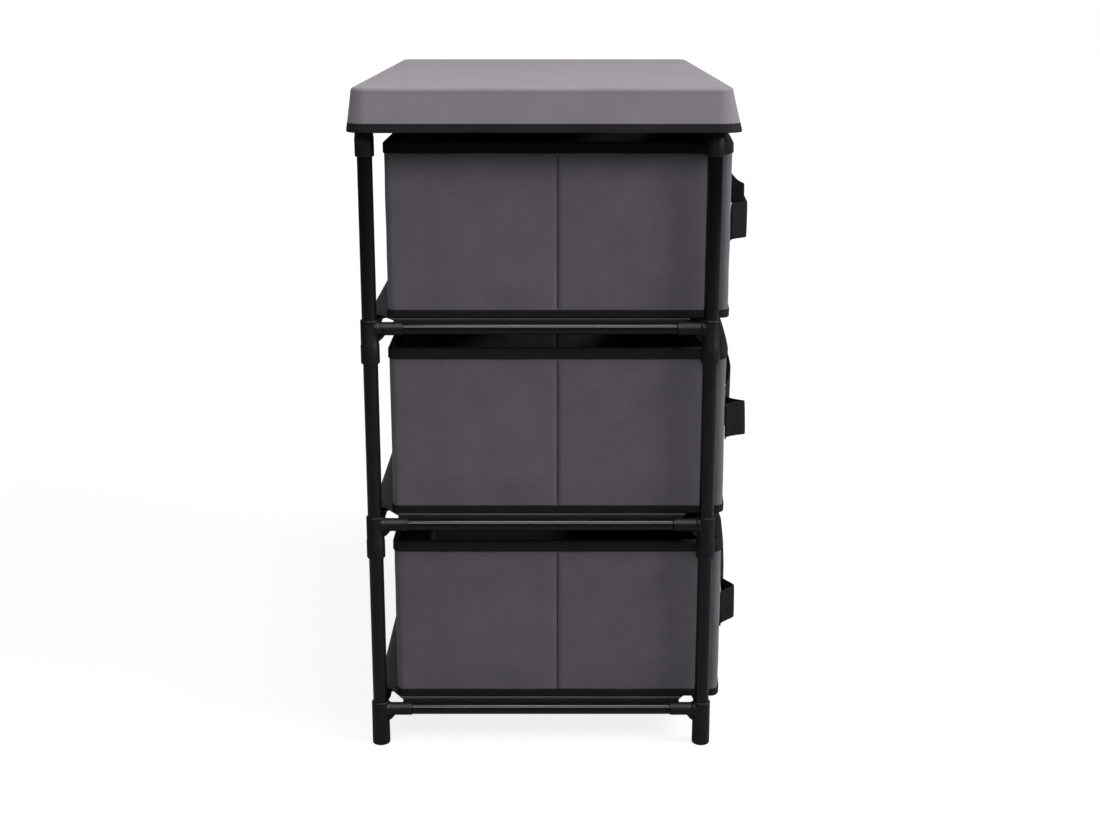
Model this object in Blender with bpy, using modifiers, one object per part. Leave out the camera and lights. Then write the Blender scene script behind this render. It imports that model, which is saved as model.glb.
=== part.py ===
"""Three-drawer fabric storage cabinet on a plug-together tube frame.

Sizes are in metres and +Z is up. The drawer fronts face -Y, X runs across the cabinet,
and the origin is under the middle of the whole cabinet, on the floor.
"""

import math

import bmesh
import bpy
from mathutils import Matrix

# General fits
CLEARANCE = 0.0003          # gap between pieces that touch

# Frame: four posts, with rails between them at four levels
POST_SPACING_X = 0.430      # between post axes, left to right
POST_SPACING_Y = 0.272      # between post axes, front to rear
FOOT_LEVEL = 0.031          # height of the lowest rails' axes
LEVEL_PITCH = 0.165         # from one level of rails to the next
POST_RADIUS = 0.0060
POST_WALL = 0.0008
RAIL_RADIUS = 0.0047
RAIL_WALL = 0.0007

# Corner connectors: a vertical sleeve with two horizontal arms
SLEEVE_WALL = 0.0010
SLEEVE_ABOVE = 0.0075       # sleeve top above the rails' axes
SLEEVE_BELOW = 0.0285       # sleeve bottom below the rails' axes
SOCKET_DEPTH = 0.0175       # upper socket, from the sleeve's top
PARTITION = 0.0015          # web between the upper and lower sockets
COLLAR_DROP = 0.0130        # where the thicker lower collar starts, below the axes
COLLAR_STEP = 0.0003
ARM_RADIUS = 0.0054
ARM_REACH = 0.0270          # from the post axis to the arm's shoulder
SPIGOT_LENGTH = 0.0140      # plug that enters the rail's bore
GUSSET_LEG = 0.0050
GUSSET_WIDTH = 0.0040
EDGE_BREAK = 0.0006

# Top: a board under a fitted fabric cover
TOP_THICKNESS = 0.0150
TOP_OVERHANG_SIDE = 0.0090  # board edge beyond the post axes
TOP_OVERHANG_REAR = 0.0075
TOP_OVERHANG_FRONT = 0.0108
TOP_CORNER_RADIUS = 0.0100
COVER_FABRIC = 0.0009
COVER_EDGE_RADIUS = 0.0030
SKIRT_DROP = 0.0330
SKIRT_FLARE_SIDE = 0.0050   # how far the hem stands out from the top's edge
SKIRT_FLARE_REAR = 0.0045
SKIRT_FLARE_FRONT = 0.0080

# Shelves: fabric panels with a sewn tunnel round the front and rear rails
SHELF_FABRIC = 0.0012
SHELF_SIDE_GAP = 0.0028     # between the shelf's side edge and the bare side rail
SHELF_TUNNEL_GAP = 0.0006   # between a tunnel's end and the connector's arm
SHELF_CORNER_CUT = 0.0180   # where the corner cut meets the side edge, from the rail axis

# Drawers: folding fabric boxes with boards in their walls
DRAWER_SIDE_GAP = 0.0024    # between the drawer's binding and the connectors' collars
DRAWER_FRONT_PROUD = 0.0155 # front corners, beyond the front post axes
DRAWER_REAR_SETBACK = 0.0124
DRAWER_HEADROOM = 0.0185    # drawer top to the axes of the rails above
DRAWER_BOW = 0.0076         # how far the front wall bulges at its middle
DRAWER_CORNER_RADIUS = 0.0060
SKIN = 0.0010               # fabric on each face of a wall
WALL_BOARD = 0.0022         # stiffening board sewn in between the skins
FLOOR_FABRIC = 0.0012
TAPE = 0.0010               # binding tape, sewn on over the edge
TOP_TAPE_DEPTH = 0.0088
BOTTOM_TAPE_HEIGHT = 0.0065
BASE_BOARD = 0.0030
BASE_BOARD_MARGIN = 0.0010  # between the base board and the walls

# Strap handle: one slack strap across each drawer front, sewn to it at both ends
STRAP_THICKNESS = 0.0016
STRAP_HEIGHT = 0.0290
STRAP_CENTRE_HEIGHT = 0.0760  # above the drawer's underside
STRAP_TAB = 0.0060            # sewn end that lies flat on the front
STRAP_END_MARGIN = 0.0030     # from the strap's end to the drawer's side
STRAP_RISE = 0.0190           # length over which an end lifts off the front
STRAP_SLACK = 0.0126          # how far most of the strap stands off the front
PULL_STANDOFF = 0.0215        # how far its middle, the pull, stands off
PULL_HALF_LENGTH = 0.1400

# Facets round each turned or rounded shape
SLEEVE_FACETS = 12
RAIL_FACETS = 12
CORNER_FACETS = 3
BOW_FACETS = 8
STRAP_FACETS = 40

# Worked out from the sizes above
SLEEVE_RADIUS = POST_RADIUS + CLEARANCE + SLEEVE_WALL
COLLAR_RADIUS = SLEEVE_RADIUS + COLLAR_STEP
SOCKET_RADIUS = POST_RADIUS + CLEARANCE
SPIGOT_RADIUS = RAIL_RADIUS - RAIL_WALL - CLEARANCE
LEVEL_NAMES = ("foot", "lower", "upper", "top")
LEVELS = [FOOT_LEVEL + LEVEL_PITCH * i for i in range(len(LEVEL_NAMES))]
SHELF_TOP = RAIL_RADIUS + CLEARANCE + SHELF_FABRIC
WALL = WALL_BOARD + 2 * SKIN
DRAWER_HEIGHT = LEVEL_PITCH - SHELF_TOP - CLEARANCE - DRAWER_HEADROOM
DRAWER_HALF_WIDTH = POST_SPACING_X / 2 - COLLAR_RADIUS - DRAWER_SIDE_GAP - TAPE
DRAWER_FRONT = POST_SPACING_Y / 2 + DRAWER_FRONT_PROUD - TAPE
DRAWER_REAR = POST_SPACING_Y / 2 - DRAWER_REAR_SETBACK - TAPE
DRAWER_HALF_LENGTH = (DRAWER_FRONT + DRAWER_REAR) / 2
BOARD_BOTTOM = LEVELS[-1] + SLEEVE_ABOVE + CLEARANCE
BOARD_TOP = BOARD_BOTTOM + TOP_THICKNESS
COVER_OUT = CLEARANCE + COVER_FABRIC
COVER_TOP = BOARD_TOP + COVER_OUT
REAR_REACH = POST_SPACING_Y / 2 + TOP_OVERHANG_REAR + COVER_OUT + SKIRT_FLARE_REAR
FRONT_REACH = DRAWER_FRONT + DRAWER_BOW + CLEARANCE + STRAP_THICKNESS + PULL_STANDOFF
FRAME_Y = (FRONT_REACH - REAR_REACH) / 2   # puts the origin under the middle of it all
DRAWER_Y = FRAME_Y + (DRAWER_REAR - DRAWER_FRONT) / 2

MATERIALS = {
    "frame_steel": ((0.018, 0.018, 0.020, 1), 0.38, 0.0),
    "connector_plastic": ((0.014, 0.016, 0.017, 1), 0.50, 0.0),
    "drawer_fabric": ((0.085, 0.078, 0.090, 1), 0.92, 0.0),
    "cover_fabric": ((0.200, 0.188, 0.210, 1), 0.92, 0.0),
    "black_tape": ((0.016, 0.015, 0.018, 1), 0.82, 0.0),
    "fibreboard": ((0.360, 0.250, 0.150, 1), 0.80, 0.0),
}


def clear_scene():
    """Remove everything that a new file holds."""
    for obj in list(bpy.data.objects):
        bpy.data.objects.remove(obj, do_unlink=True)


def make_materials():
    """One Principled material for each finish, named in the table above."""
    made = {}
    for name, (colour, roughness, metallic) in MATERIALS.items():
        material = bpy.data.materials.new(name)
        material.use_nodes = True
        shader = material.node_tree.nodes["Principled BSDF"]
        shader.inputs["Base Color"].default_value = colour
        shader.inputs["Roughness"].default_value = roughness
        shader.inputs["Metallic"].default_value = metallic
        material.diffuse_color = colour
        made[name] = material
    return made


def add_object(name, mesh, material, location=(0, 0, 0), turn=0.0, parent=None):
    """Put a mesh in the cabinet's collection as a named piece."""
    obj = bpy.data.objects.new(name, mesh)
    PARTS.objects.link(obj)
    if not mesh.materials:
        mesh.materials.append(FINISHES[material])
    obj.location = location
    obj.rotation_euler.z = turn
    obj.parent = parent
    return obj


def mesh_from(bm, name, smooth=False):
    """Turn a bmesh into a mesh whose faces point out; those of a deep tray can start out reversed."""
    bmesh.ops.recalc_face_normals(bm, faces=bm.faces)
    if bm.calc_volume(signed=True) < 0:
        bmesh.ops.reverse_faces(bm, faces=bm.faces)
    mesh = bpy.data.meshes.new(name)
    bm.to_mesh(mesh)
    bm.free()
    if smooth:
        mesh.shade_smooth()
        mesh.set_sharp_from_angle(angle=math.radians(40))
    return mesh


def evaluated_mesh(obj, name):
    """The mesh of an object with its modifiers applied; the object is removed."""
    bpy.context.view_layer.update()
    graph = bpy.context.evaluated_depsgraph_get()
    mesh = bpy.data.meshes.new_from_object(obj.evaluated_get(graph))
    mesh.name = name
    bpy.data.objects.remove(obj, do_unlink=True)
    return mesh


def turned(name, profile, facets, closed=False):
    """A shape turned round Z from (radius, height) points, top to bottom on the outer side."""
    bm = bmesh.new()
    verts = [bm.verts.new((radius, 0, height)) for radius, height in profile]
    for a, b in zip(verts, verts[1:]):
        bm.edges.new((a, b))
    if closed:
        bm.edges.new((verts[-1], verts[0]))
    mesh = bpy.data.meshes.new(name)
    bm.to_mesh(mesh)
    bm.free()
    obj = bpy.data.objects.new(name, mesh)
    CUTTERS.objects.link(obj)
    screw = obj.modifiers.new("turn", "SCREW")
    screw.steps = screw.render_steps = facets
    screw.use_merge_vertices = True
    screw.merge_threshold = 0.00001
    screw.use_smooth_shade = True
    return evaluated_mesh(obj, name)


def solid_profile(top, bottom, radius):
    """Profile of a plain round bar with broken edges."""
    return [(0, top), (radius - EDGE_BREAK, top), (radius, top - EDGE_BREAK),
            (radius, bottom + EDGE_BREAK), (radius - EDGE_BREAK, bottom), (0, bottom)]


def tube_profile(length, radius, wall):
    """Profile of an open tube, centred on the origin."""
    half = length / 2
    return [(radius, half), (radius, -half), (radius - wall, -half), (radius - wall, half)]


def combine(name, base, unions, cuts):
    """Join meshes to a base mesh, then cut others from it."""
    obj = bpy.data.objects.new(name, base)
    CUTTERS.objects.link(obj)
    helpers = []
    for operation, meshes in (("UNION", unions), ("DIFFERENCE", cuts)):
        for mesh, matrix in meshes:
            tool = bpy.data.objects.new(name + "_tool", mesh)
            CUTTERS.objects.link(tool)
            tool.matrix_world = matrix
            helpers.append(tool)
            step = obj.modifiers.new(operation.lower(), "BOOLEAN")
            step.operation = operation
            step.object = tool
    result = evaluated_mesh(obj, name)
    for tool in helpers:
        bpy.data.objects.remove(tool, do_unlink=True)
    bm = bmesh.new()
    bm.from_mesh(result)
    bmesh.ops.remove_doubles(bm, verts=bm.verts, dist=0.00001)
    return mesh_from(bm, name, smooth=True)


def outline_solid(name, outlines, thickness):
    """A flat outline with holes, thickened evenly about the XY plane."""
    curve = bpy.data.curves.new(name, "CURVE")
    curve.dimensions = "2D"
    curve.fill_mode = "BOTH"
    curve.extrude = thickness / 2
    for outline in outlines:
        spline = curve.splines.new("POLY")
        spline.points.add(len(outline) - 1)
        for point, (x, y) in zip(spline.points, outline):
            point.co = (x, y, 0, 1)
        spline.use_cyclic_u = True
    obj = bpy.data.objects.new(name, curve)
    CUTTERS.objects.link(obj)
    mesh = evaluated_mesh(obj, name)
    bm = bmesh.new()
    bm.from_mesh(mesh)
    bmesh.ops.remove_doubles(bm, verts=bm.verts, dist=0.00001)
    return mesh_from(bm, name)


def circle(radius, centre=(0, 0), facets=RAIL_FACETS):
    """Points round a circle."""
    return [(centre[0] + radius * math.cos(2 * math.pi * i / facets),
             centre[1] + radius * math.sin(2 * math.pi * i / facets)) for i in range(facets)]


def front_bow(x, half_width):
    """How far a drawer's front wall stands forward of its corners, a parabola across it."""
    return DRAWER_BOW * (1 - (x / half_width) ** 2)


def rounded_outline(half_width, front, rear, radius, bow_width=None):
    """A rectangle with round corners, anticlockwise from the front left corner.

    With bow_width the front edge bulges by front_bow between its corners.
    """
    points = []
    corners = ((-half_width + radius, front + radius, 180), (half_width - radius, front + radius, 270),
               (half_width - radius, rear - radius, 0), (-half_width + radius, rear - radius, 90))
    for index, (cx, cy, start) in enumerate(corners):
        for step in range(CORNER_FACETS + 1):
            angle = math.radians(start + 90 * step / CORNER_FACETS)
            points.append((cx + radius * math.cos(angle), cy + radius * math.sin(angle)))
        if index == 0 and bow_width:
            span = 2 * (half_width - radius)
            for step in range(1, BOW_FACETS):
                x = -span / 2 + span * step / BOW_FACETS
                points.append((x, front - front_bow(x, bow_width)))
    return points


def drawer_outline(offset):
    """The drawer's plan, moved outwards by offset from the fabric's outer face."""
    return rounded_outline(DRAWER_HALF_WIDTH + offset, -DRAWER_HALF_LENGTH - offset,
                           DRAWER_HALF_LENGTH + offset, DRAWER_CORNER_RADIUS + offset,
                           DRAWER_HALF_WIDTH)


def raise_faces(bm, faces, height):
    """Extrude a face region straight up, or down if height is negative; the faces stay as well."""
    made = bmesh.ops.extrude_face_region(bm, geom=faces)["geom"]
    verts = [item for item in made if isinstance(item, bmesh.types.BMVert)]
    bmesh.ops.translate(bm, vec=(0, 0, height), verts=verts)
    return [item for item in made if isinstance(item, bmesh.types.BMFace)]


def prism(bm, outline, low, high):
    """A straight-sided block on an outline; returns its top face."""
    base = bm.faces.new([bm.verts.new((x, y, low)) for x, y in outline])
    return raise_faces(bm, [base], high - low)


def swept_solid(name, section, outline):
    """A section swept round a plan: one ring of points for each (offset, height), joined in turn.

    The first and last rings are closed with flat faces.
    """
    bm = bmesh.new()
    rings = [[bm.verts.new((x, y, height)) for x, y in outline(offset)] for offset, height in section]
    for lower, upper in zip(rings, rings[1:]):
        for index, corner in enumerate(lower):
            after = (index + 1) % len(lower)
            bm.faces.new((corner, lower[after], upper[after], upper[index]))
    for ring in (rings[0], rings[-1]):
        bm.faces.new(ring)
    return mesh_from(bm, name)


# Frame

def sleeve_mesh(kind):
    """The solid upright of a connector, before its sockets are bored."""
    if kind == "foot":
        return turned("leg", solid_profile(SLEEVE_ABOVE, -FOOT_LEVEL, SLEEVE_RADIUS), SLEEVE_FACETS)
    profile = [(0, SLEEVE_ABOVE), (SLEEVE_RADIUS - EDGE_BREAK, SLEEVE_ABOVE),
               (SLEEVE_RADIUS, SLEEVE_ABOVE - EDGE_BREAK), (SLEEVE_RADIUS, -COLLAR_DROP),
               (COLLAR_RADIUS, -COLLAR_DROP - COLLAR_STEP), (COLLAR_RADIUS, -SLEEVE_BELOW + EDGE_BREAK),
               (COLLAR_RADIUS - EDGE_BREAK, -SLEEVE_BELOW), (0, -SLEEVE_BELOW)]
    return turned("sleeve", profile, SLEEVE_FACETS)


def connector_mesh(kind):
    """A corner connector with arms along +X and +Y; kind is foot, middle or top."""
    arm_tip = ARM_REACH + SPIGOT_LENGTH
    arm = turned("arm", [(0, arm_tip), (SPIGOT_RADIUS - EDGE_BREAK, arm_tip),
                         (SPIGOT_RADIUS, arm_tip - EDGE_BREAK), (SPIGOT_RADIUS, ARM_REACH),
                         (ARM_RADIUS, ARM_REACH), (ARM_RADIUS, 0), (0, 0)], RAIL_FACETS)
    reach = SLEEVE_RADIUS + GUSSET_LEG
    root = SLEEVE_RADIUS / 2
    drop = ARM_RADIUS + GUSSET_LEG
    gusset = outline_solid("gusset", [[(root, -ARM_RADIUS / 2), (reach, -ARM_RADIUS / 2),
                                       (reach, -ARM_RADIUS), (SLEEVE_RADIUS, -drop),
                                       (root, -drop)]], GUSSET_WIDTH)
    along_x = Matrix.Rotation(math.radians(90), 4, "Y")
    stand_up = Matrix.Rotation(math.radians(90), 4, "X")
    unions = []
    for turn in (0, 90):
        spin = Matrix.Rotation(math.radians(turn), 4, "Z")
        unions.append((arm, spin @ along_x))
        unions.append((gusset, spin @ stand_up))
    socket_floor = SLEEVE_ABOVE - SOCKET_DEPTH
    cuts = []
    if kind != "top":
        upper = turned("upper_bore", [(0, SLEEVE_ABOVE + SLEEVE_WALL),
                                      (SOCKET_RADIUS, SLEEVE_ABOVE + SLEEVE_WALL),
                                      (SOCKET_RADIUS, socket_floor), (0, socket_floor)], SLEEVE_FACETS)
        cuts.append((upper, Matrix()))
    if kind != "foot":
        lower = turned("lower_bore", [(0, socket_floor - PARTITION), (SOCKET_RADIUS, socket_floor - PARTITION),
                                      (SOCKET_RADIUS, -SLEEVE_BELOW - SLEEVE_WALL),
                                      (0, -SLEEVE_BELOW - SLEEVE_WALL)], SLEEVE_FACETS)
        cuts.append((lower, Matrix()))
    return combine(kind + "_connector", sleeve_mesh(kind), unions, cuts)


# Each corner's place as signs of x and y, and the turn that points its arms inwards
CORNERS = {"front_left": (-1, -1, 0), "front_right": (1, -1, 90),
           "rear_right": (1, 1, 180), "rear_left": (-1, 1, 270)}


def post_place(corner):
    """The x and y of a corner's post axis."""
    sx, sy, _ = CORNERS[corner]
    return sx * POST_SPACING_X / 2, FRAME_Y + sy * POST_SPACING_Y / 2


def make_connectors():
    """Sixteen connectors: feet, two levels of sleeves, and the closed ones under the top."""
    meshes = {kind: connector_mesh(kind) for kind in ("foot", "middle", "top")}
    kinds = ("foot", "middle", "middle", "top")
    for level, height, kind in zip(LEVEL_NAMES, LEVELS, kinds):
        for corner, (_, _, turn) in CORNERS.items():
            x, y = post_place(corner)
            add_object(f"{level}_connector_{corner}", meshes[kind], "connector_plastic",
                       (x, y, height), math.radians(turn))


def make_posts():
    """Twelve open tubes, one for each corner of each tier."""
    length = LEVEL_PITCH - PARTITION - 2 * CLEARANCE
    mesh = turned("post_tube", tube_profile(length, POST_RADIUS, POST_WALL), SLEEVE_FACETS, closed=True)
    start = SLEEVE_ABOVE - SOCKET_DEPTH + CLEARANCE
    for tier, height in zip(("bottom", "middle", "top"), LEVELS):
        for corner in CORNERS:
            x, y = post_place(corner)
            add_object(f"{tier}_post_{corner}", mesh, "frame_steel", (x, y, height + start + length / 2))


def rail_mesh(spacing, axis):
    """A tube that fits between two arms' shoulders, lying along X or Y."""
    length = spacing - 2 * (ARM_REACH + CLEARANCE)
    mesh = turned("rail_tube", tube_profile(length, RAIL_RADIUS, RAIL_WALL), RAIL_FACETS, closed=True)
    mesh.transform(Matrix.Rotation(math.radians(90), 4, "Y" if axis == "X" else "X"))
    return mesh


def make_rails():
    """Sixteen rails: front, rear, left and right at each level."""
    across = rail_mesh(POST_SPACING_X, "X")
    deep = rail_mesh(POST_SPACING_Y, "Y")
    half_x = POST_SPACING_X / 2
    half_y = POST_SPACING_Y / 2
    places = (("front", across, 0, -half_y), ("rear", across, 0, half_y),
              ("left", deep, -half_x, 0), ("right", deep, half_x, 0))
    for level, height in zip(LEVEL_NAMES, LEVELS):
        for side, mesh, x, y in places:
            add_object(f"{level}_rail_{side}", mesh, "frame_steel", (x, FRAME_Y + y, height))


# Shelves

def shelf_section():
    """The shelf's outline across its depth: a flat panel that closes into a loop at each rail."""
    outer = RAIL_RADIUS + CLEARANCE + SHELF_FABRIC
    underside = outer - SHELF_FABRIC
    rail_y = POST_SPACING_Y / 2
    steps = 10
    join = math.degrees(math.acos(underside / outer))
    points = []
    for step in range(steps + 1):
        angle = math.radians(90 - (360 - join) * step / steps)
        points.append((rail_y + outer * math.cos(angle), outer * math.sin(angle)))
    mirrored = [(-y, z) for y, z in reversed(points)]
    holes = [circle(RAIL_RADIUS + CLEARANCE, (side * rail_y, 0)) for side in (-1, 1)]
    return [points + mirrored] + holes


def make_shelves():
    """Three shelves, one under each drawer."""
    half_width = POST_SPACING_X / 2 - RAIL_RADIUS - SHELF_SIDE_GAP
    tunnel_end = POST_SPACING_X / 2 - ARM_REACH - SHELF_TUNNEL_GAP
    rail_y = POST_SPACING_Y / 2
    along = outline_solid("shelf_section", shelf_section(), 2 * half_width)
    along.transform(Matrix(((0, 0, 1, 0), (1, 0, 0, 0), (0, 1, 0, 0), (0, 0, 0, 1))))
    beyond = 2 * ARM_REACH
    cut_outline = [(half_width, rail_y - SHELF_CORNER_CUT), (half_width + beyond, rail_y - SHELF_CORNER_CUT),
                   (half_width + beyond, rail_y + beyond), (tunnel_end, rail_y + beyond),
                   (tunnel_end, rail_y - ARM_RADIUS)]
    cuts = []
    for sx in (-1, 1):
        for sy in (-1, 1):
            outline = [(sx * x, sy * y) for x, y in cut_outline]
            cutter = outline_solid("corner_cut", [outline[::sx * sy]], beyond)
            cuts.append((cutter, Matrix()))
    mesh = combine("shelf", along, [], cuts)
    for name, height in zip(("bottom", "middle", "top"), LEVELS):
        add_object(f"{name}_shelf", mesh, "drawer_fabric", (0, FRAME_Y, height))


# Top

def top_outline(out, flare=0.0):
    """The top's plan, moved outwards from the board's edge, and by a share of the skirt's flare."""
    return rounded_outline(POST_SPACING_X / 2 + TOP_OVERHANG_SIDE + out + flare * SKIRT_FLARE_SIDE,
                           -POST_SPACING_Y / 2 - TOP_OVERHANG_FRONT - out - flare * SKIRT_FLARE_FRONT,
                           POST_SPACING_Y / 2 + TOP_OVERHANG_REAR + out + flare * SKIRT_FLARE_REAR,
                           TOP_CORNER_RADIUS + out)


def round_top_edges(bm, height, radius):
    """Round the edges of the face at a given height."""
    edges = [edge for edge in bm.edges if all(abs(v.co.z - height) < CLEARANCE / 10 for v in edge.verts)]
    bmesh.ops.bevel(bm, geom=edges, offset=radius, offset_type="OFFSET", segments=2, profile=0.5,
                    affect="EDGES", clamp_overlap=True)


def make_top():
    """The board, and the cover whose skirt hangs round it and flares to its hem."""
    bm = bmesh.new()
    prism(bm, top_outline(0), BOARD_BOTTOM, BOARD_TOP)
    round_top_edges(bm, BOARD_TOP, COVER_EDGE_RADIUS - COVER_OUT)
    add_object("top_board", mesh_from(bm, "top_board"), "fibreboard", (0, FRAME_Y, 0))

    bm = bmesh.new()
    prism(bm, top_outline(COVER_OUT), COVER_TOP - SKIRT_DROP, COVER_TOP)
    bm.verts.ensure_lookup_table()
    low = [v for v in bm.verts if v.co.z < COVER_TOP - SKIRT_DROP / 2]
    hem = top_outline(COVER_OUT, flare=1.0)
    plain = top_outline(COVER_OUT)
    for vert in low:
        index = min(range(len(plain)), key=lambda i: (plain[i][0] - vert.co.x) ** 2 + (plain[i][1] - vert.co.y) ** 2)
        vert.co.x, vert.co.y = hem[index]
    floor = [face for face in bm.faces if all(v in low for v in face.verts)]
    bmesh.ops.delete(bm, geom=floor, context="FACES")
    round_top_edges(bm, COVER_TOP, COVER_EDGE_RADIUS)
    cover = add_object("top_cover", mesh_from(bm, "top_cover"), "cover_fabric", (0, FRAME_Y, 0))
    wall = cover.modifiers.new("fabric", "SOLIDIFY")
    wall.thickness = COVER_FABRIC
    wall.offset = -1
    wall.use_even_offset = True


# Drawers

def box_mesh():
    """The sewn box, with binding tape round its bottom edge and folded over its top edge.

    Its section runs up the inside from the floor, over the top edge and down the outside.
    """
    top = DRAWER_HEIGHT
    tape_end = DRAWER_HEIGHT - TOP_TAPE_DEPTH
    section = ((-WALL, FLOOR_FABRIC), (-WALL, tape_end), (-WALL - TAPE, tape_end), (-WALL - TAPE, top),
               (TAPE, top), (TAPE, tape_end), (0, tape_end), (0, BOTTOM_TAPE_HEIGHT),
               (TAPE, BOTTOM_TAPE_HEIGHT), (TAPE, 0))
    return swept_solid("drawer_box", section, drawer_outline)


def base_board_mesh():
    """The loose board that lies on the drawer's floor."""
    low = FLOOR_FABRIC + CLEARANCE
    inset = -WALL - BASE_BOARD_MARGIN
    return swept_solid("drawer_base_board", ((inset, low), (inset, low + BASE_BOARD)), drawer_outline)


def strap_standoff(x):
    """How far the strap stands off the front wall.

    Each end lifts along a smooth step, 3 t^2 - 2 t^3, and the pull adds a squared cosine.
    """
    end = DRAWER_HALF_WIDTH - STRAP_END_MARGIN - STRAP_TAB
    rise = min(max((end - abs(x)) / STRAP_RISE, 0), 1)
    lift = STRAP_SLACK * (3 * rise ** 2 - 2 * rise ** 3)
    if abs(x) < PULL_HALF_LENGTH:
        swell = math.cos(math.pi / 2 * x / PULL_HALF_LENGTH) ** 2
        lift += (PULL_STANDOFF - STRAP_SLACK) * swell
    return lift


def strap_line(x):
    """The y of the strap's inner face in plan."""
    return -DRAWER_HALF_LENGTH - front_bow(x, DRAWER_HALF_WIDTH) - strap_standoff(x) - CLEARANCE


def strap_mesh():
    """The strap: its path in plan, thickened to one side and as tall as the webbing.

    The path's points lie closer together towards the ends, where it bends most.
    """
    half = DRAWER_HALF_WIDTH - STRAP_END_MARGIN
    step = CLEARANCE / 10
    inner, outer = [], []
    for index in range(STRAP_FACETS + 1):
        x = -half * math.cos(math.pi * index / STRAP_FACETS)
        y = strap_line(x)
        slope = (strap_line(x + step) - strap_line(x - step)) / (2 * step)
        length = math.hypot(1, slope)
        inner.append((x, y))
        outer.append((x + slope / length * STRAP_THICKNESS, y - STRAP_THICKNESS / length))
    mesh = outline_solid("drawer_strap", [outer + inner[::-1]], STRAP_HEIGHT)
    mesh.transform(Matrix.Translation((0, 0, STRAP_CENTRE_HEIGHT)))
    return mesh


def make_drawers():
    """Three drawers, each under an empty on the line that it slides along."""
    pieces = (("fabric_box", box_mesh(), "drawer_fabric"), ("base_board", base_board_mesh(), "fibreboard"),
              ("strap_handle", strap_mesh(), "black_tape"))
    for drawer, height in zip(("bottom_drawer", "middle_drawer", "top_drawer"), LEVELS):
        slide = bpy.data.objects.new(drawer + "_slide", None)
        PARTS.objects.link(slide)
        slide.location = (0, DRAWER_Y, height + SHELF_TOP + CLEARANCE)
        for piece, mesh, finish in pieces:
            add_object(f"{drawer}_{piece}", mesh, finish, parent=slide)


clear_scene()
PARTS = bpy.data.collections.new("fabric_drawer_cabinet")
CUTTERS = bpy.data.collections.new("cutters")
bpy.context.scene.collection.children.link(PARTS)
bpy.context.scene.collection.children.link(CUTTERS)
FINISHES = make_materials()
make_connectors()
make_posts()
make_rails()
make_shelves()
make_top()
make_drawers()
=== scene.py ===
# %% [markdown]
# # A fabric drawer cabinet, dressed for its portrait
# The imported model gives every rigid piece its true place. This lesson builds the fine surfaces on
# top of it: smooth tubes, moulded corners, stiffened fabric drawers, a skirted cover and straps.

# %% Load the frame
import math

import bmesh
import bpy
import numpy as np
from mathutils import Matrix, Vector


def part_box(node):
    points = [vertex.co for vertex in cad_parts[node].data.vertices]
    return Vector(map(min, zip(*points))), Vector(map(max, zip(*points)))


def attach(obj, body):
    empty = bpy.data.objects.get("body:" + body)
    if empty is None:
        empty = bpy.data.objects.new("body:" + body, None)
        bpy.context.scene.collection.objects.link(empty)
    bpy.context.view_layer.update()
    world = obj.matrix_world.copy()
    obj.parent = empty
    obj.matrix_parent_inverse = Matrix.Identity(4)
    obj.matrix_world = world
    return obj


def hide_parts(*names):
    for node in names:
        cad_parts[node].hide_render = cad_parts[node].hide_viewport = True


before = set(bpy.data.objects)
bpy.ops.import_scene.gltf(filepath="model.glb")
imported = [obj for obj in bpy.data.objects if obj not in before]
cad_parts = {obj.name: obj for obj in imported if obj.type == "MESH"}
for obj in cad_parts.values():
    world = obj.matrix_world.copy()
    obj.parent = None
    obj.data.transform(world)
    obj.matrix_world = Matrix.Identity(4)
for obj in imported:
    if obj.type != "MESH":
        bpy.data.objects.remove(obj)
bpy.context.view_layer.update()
MM = 0.001


# %% [markdown]
# ## Surfaces on a grid
# Almost every piece here is a function of two parameters: how far round a plan, and how far up a
# section. A grid of points becomes quads, and the two parameters become its UV map, in metres, so
# that weave and stitches keep their true size.

# %% Grid helper
def grid_mesh(points, u, v, close_u=False, close_v=False, flip=False, level=None):
    """A mesh on a grid of points shaped (rows, columns, 3).

    u and v are the lengths along rows and columns. Where a direction is closed, its list has one
    more value than the grid has points, so that the last quads run on and don't fold back. Rows
    marked in level lie flat, and their quads take x and y as UV.
    """
    rows, cols = points.shape[:2]
    i, j = np.meshgrid(np.arange(rows if close_u else rows - 1),
                       np.arange(cols if close_v else cols - 1), indexing="ij")
    i, j = i.ravel(), j.ravel()
    i2, j2 = i + 1, j + 1
    ring = [(i, j), (i2, j), (i2, j2), (i, j2)]
    if flip:
        ring = ring[::-1]
    faces = np.stack([(a % rows) * cols + (b % cols) for a, b in ring], axis=1)
    uv = np.stack([np.stack([u[a], v[b]], axis=1) for a, b in ring], axis=1)
    if level is not None:
        flat = np.asarray(level)[i]
        uv[flat] = points.reshape(-1, 3)[faces[flat]][..., :2]
    mesh = bpy.data.meshes.new("surface")
    mesh.from_pydata(points.reshape(-1, 3).tolist(), [], faces.tolist())
    layer = mesh.uv_layers.new(name="UVMap")
    layer.data.foreach_set("uv", uv.reshape(-1).astype(np.float32))
    mesh.update()
    return mesh


def merged(mesh, distance=0.00001):
    """Close seams and poles by merging points that lie together."""
    bm = bmesh.new()
    bm.from_mesh(mesh)
    bmesh.ops.remove_doubles(bm, verts=bm.verts, dist=distance)
    bmesh.ops.dissolve_degenerate(bm, edges=bm.edges, dist=distance / 10)
    bm.to_mesh(mesh)
    bm.free()
    return mesh


# %% Running length
def running_length(points, closed=False):
    """Lengths from a path's first point to each of its points, as the sum of its steps.

    A closed path's list has one more value than it has points: the whole way round.
    """
    if closed:
        points = np.vstack([points, points[:1]])
    return np.concatenate([[0], np.cumsum(np.hypot(*np.diff(points, axis=0).T))])


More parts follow.
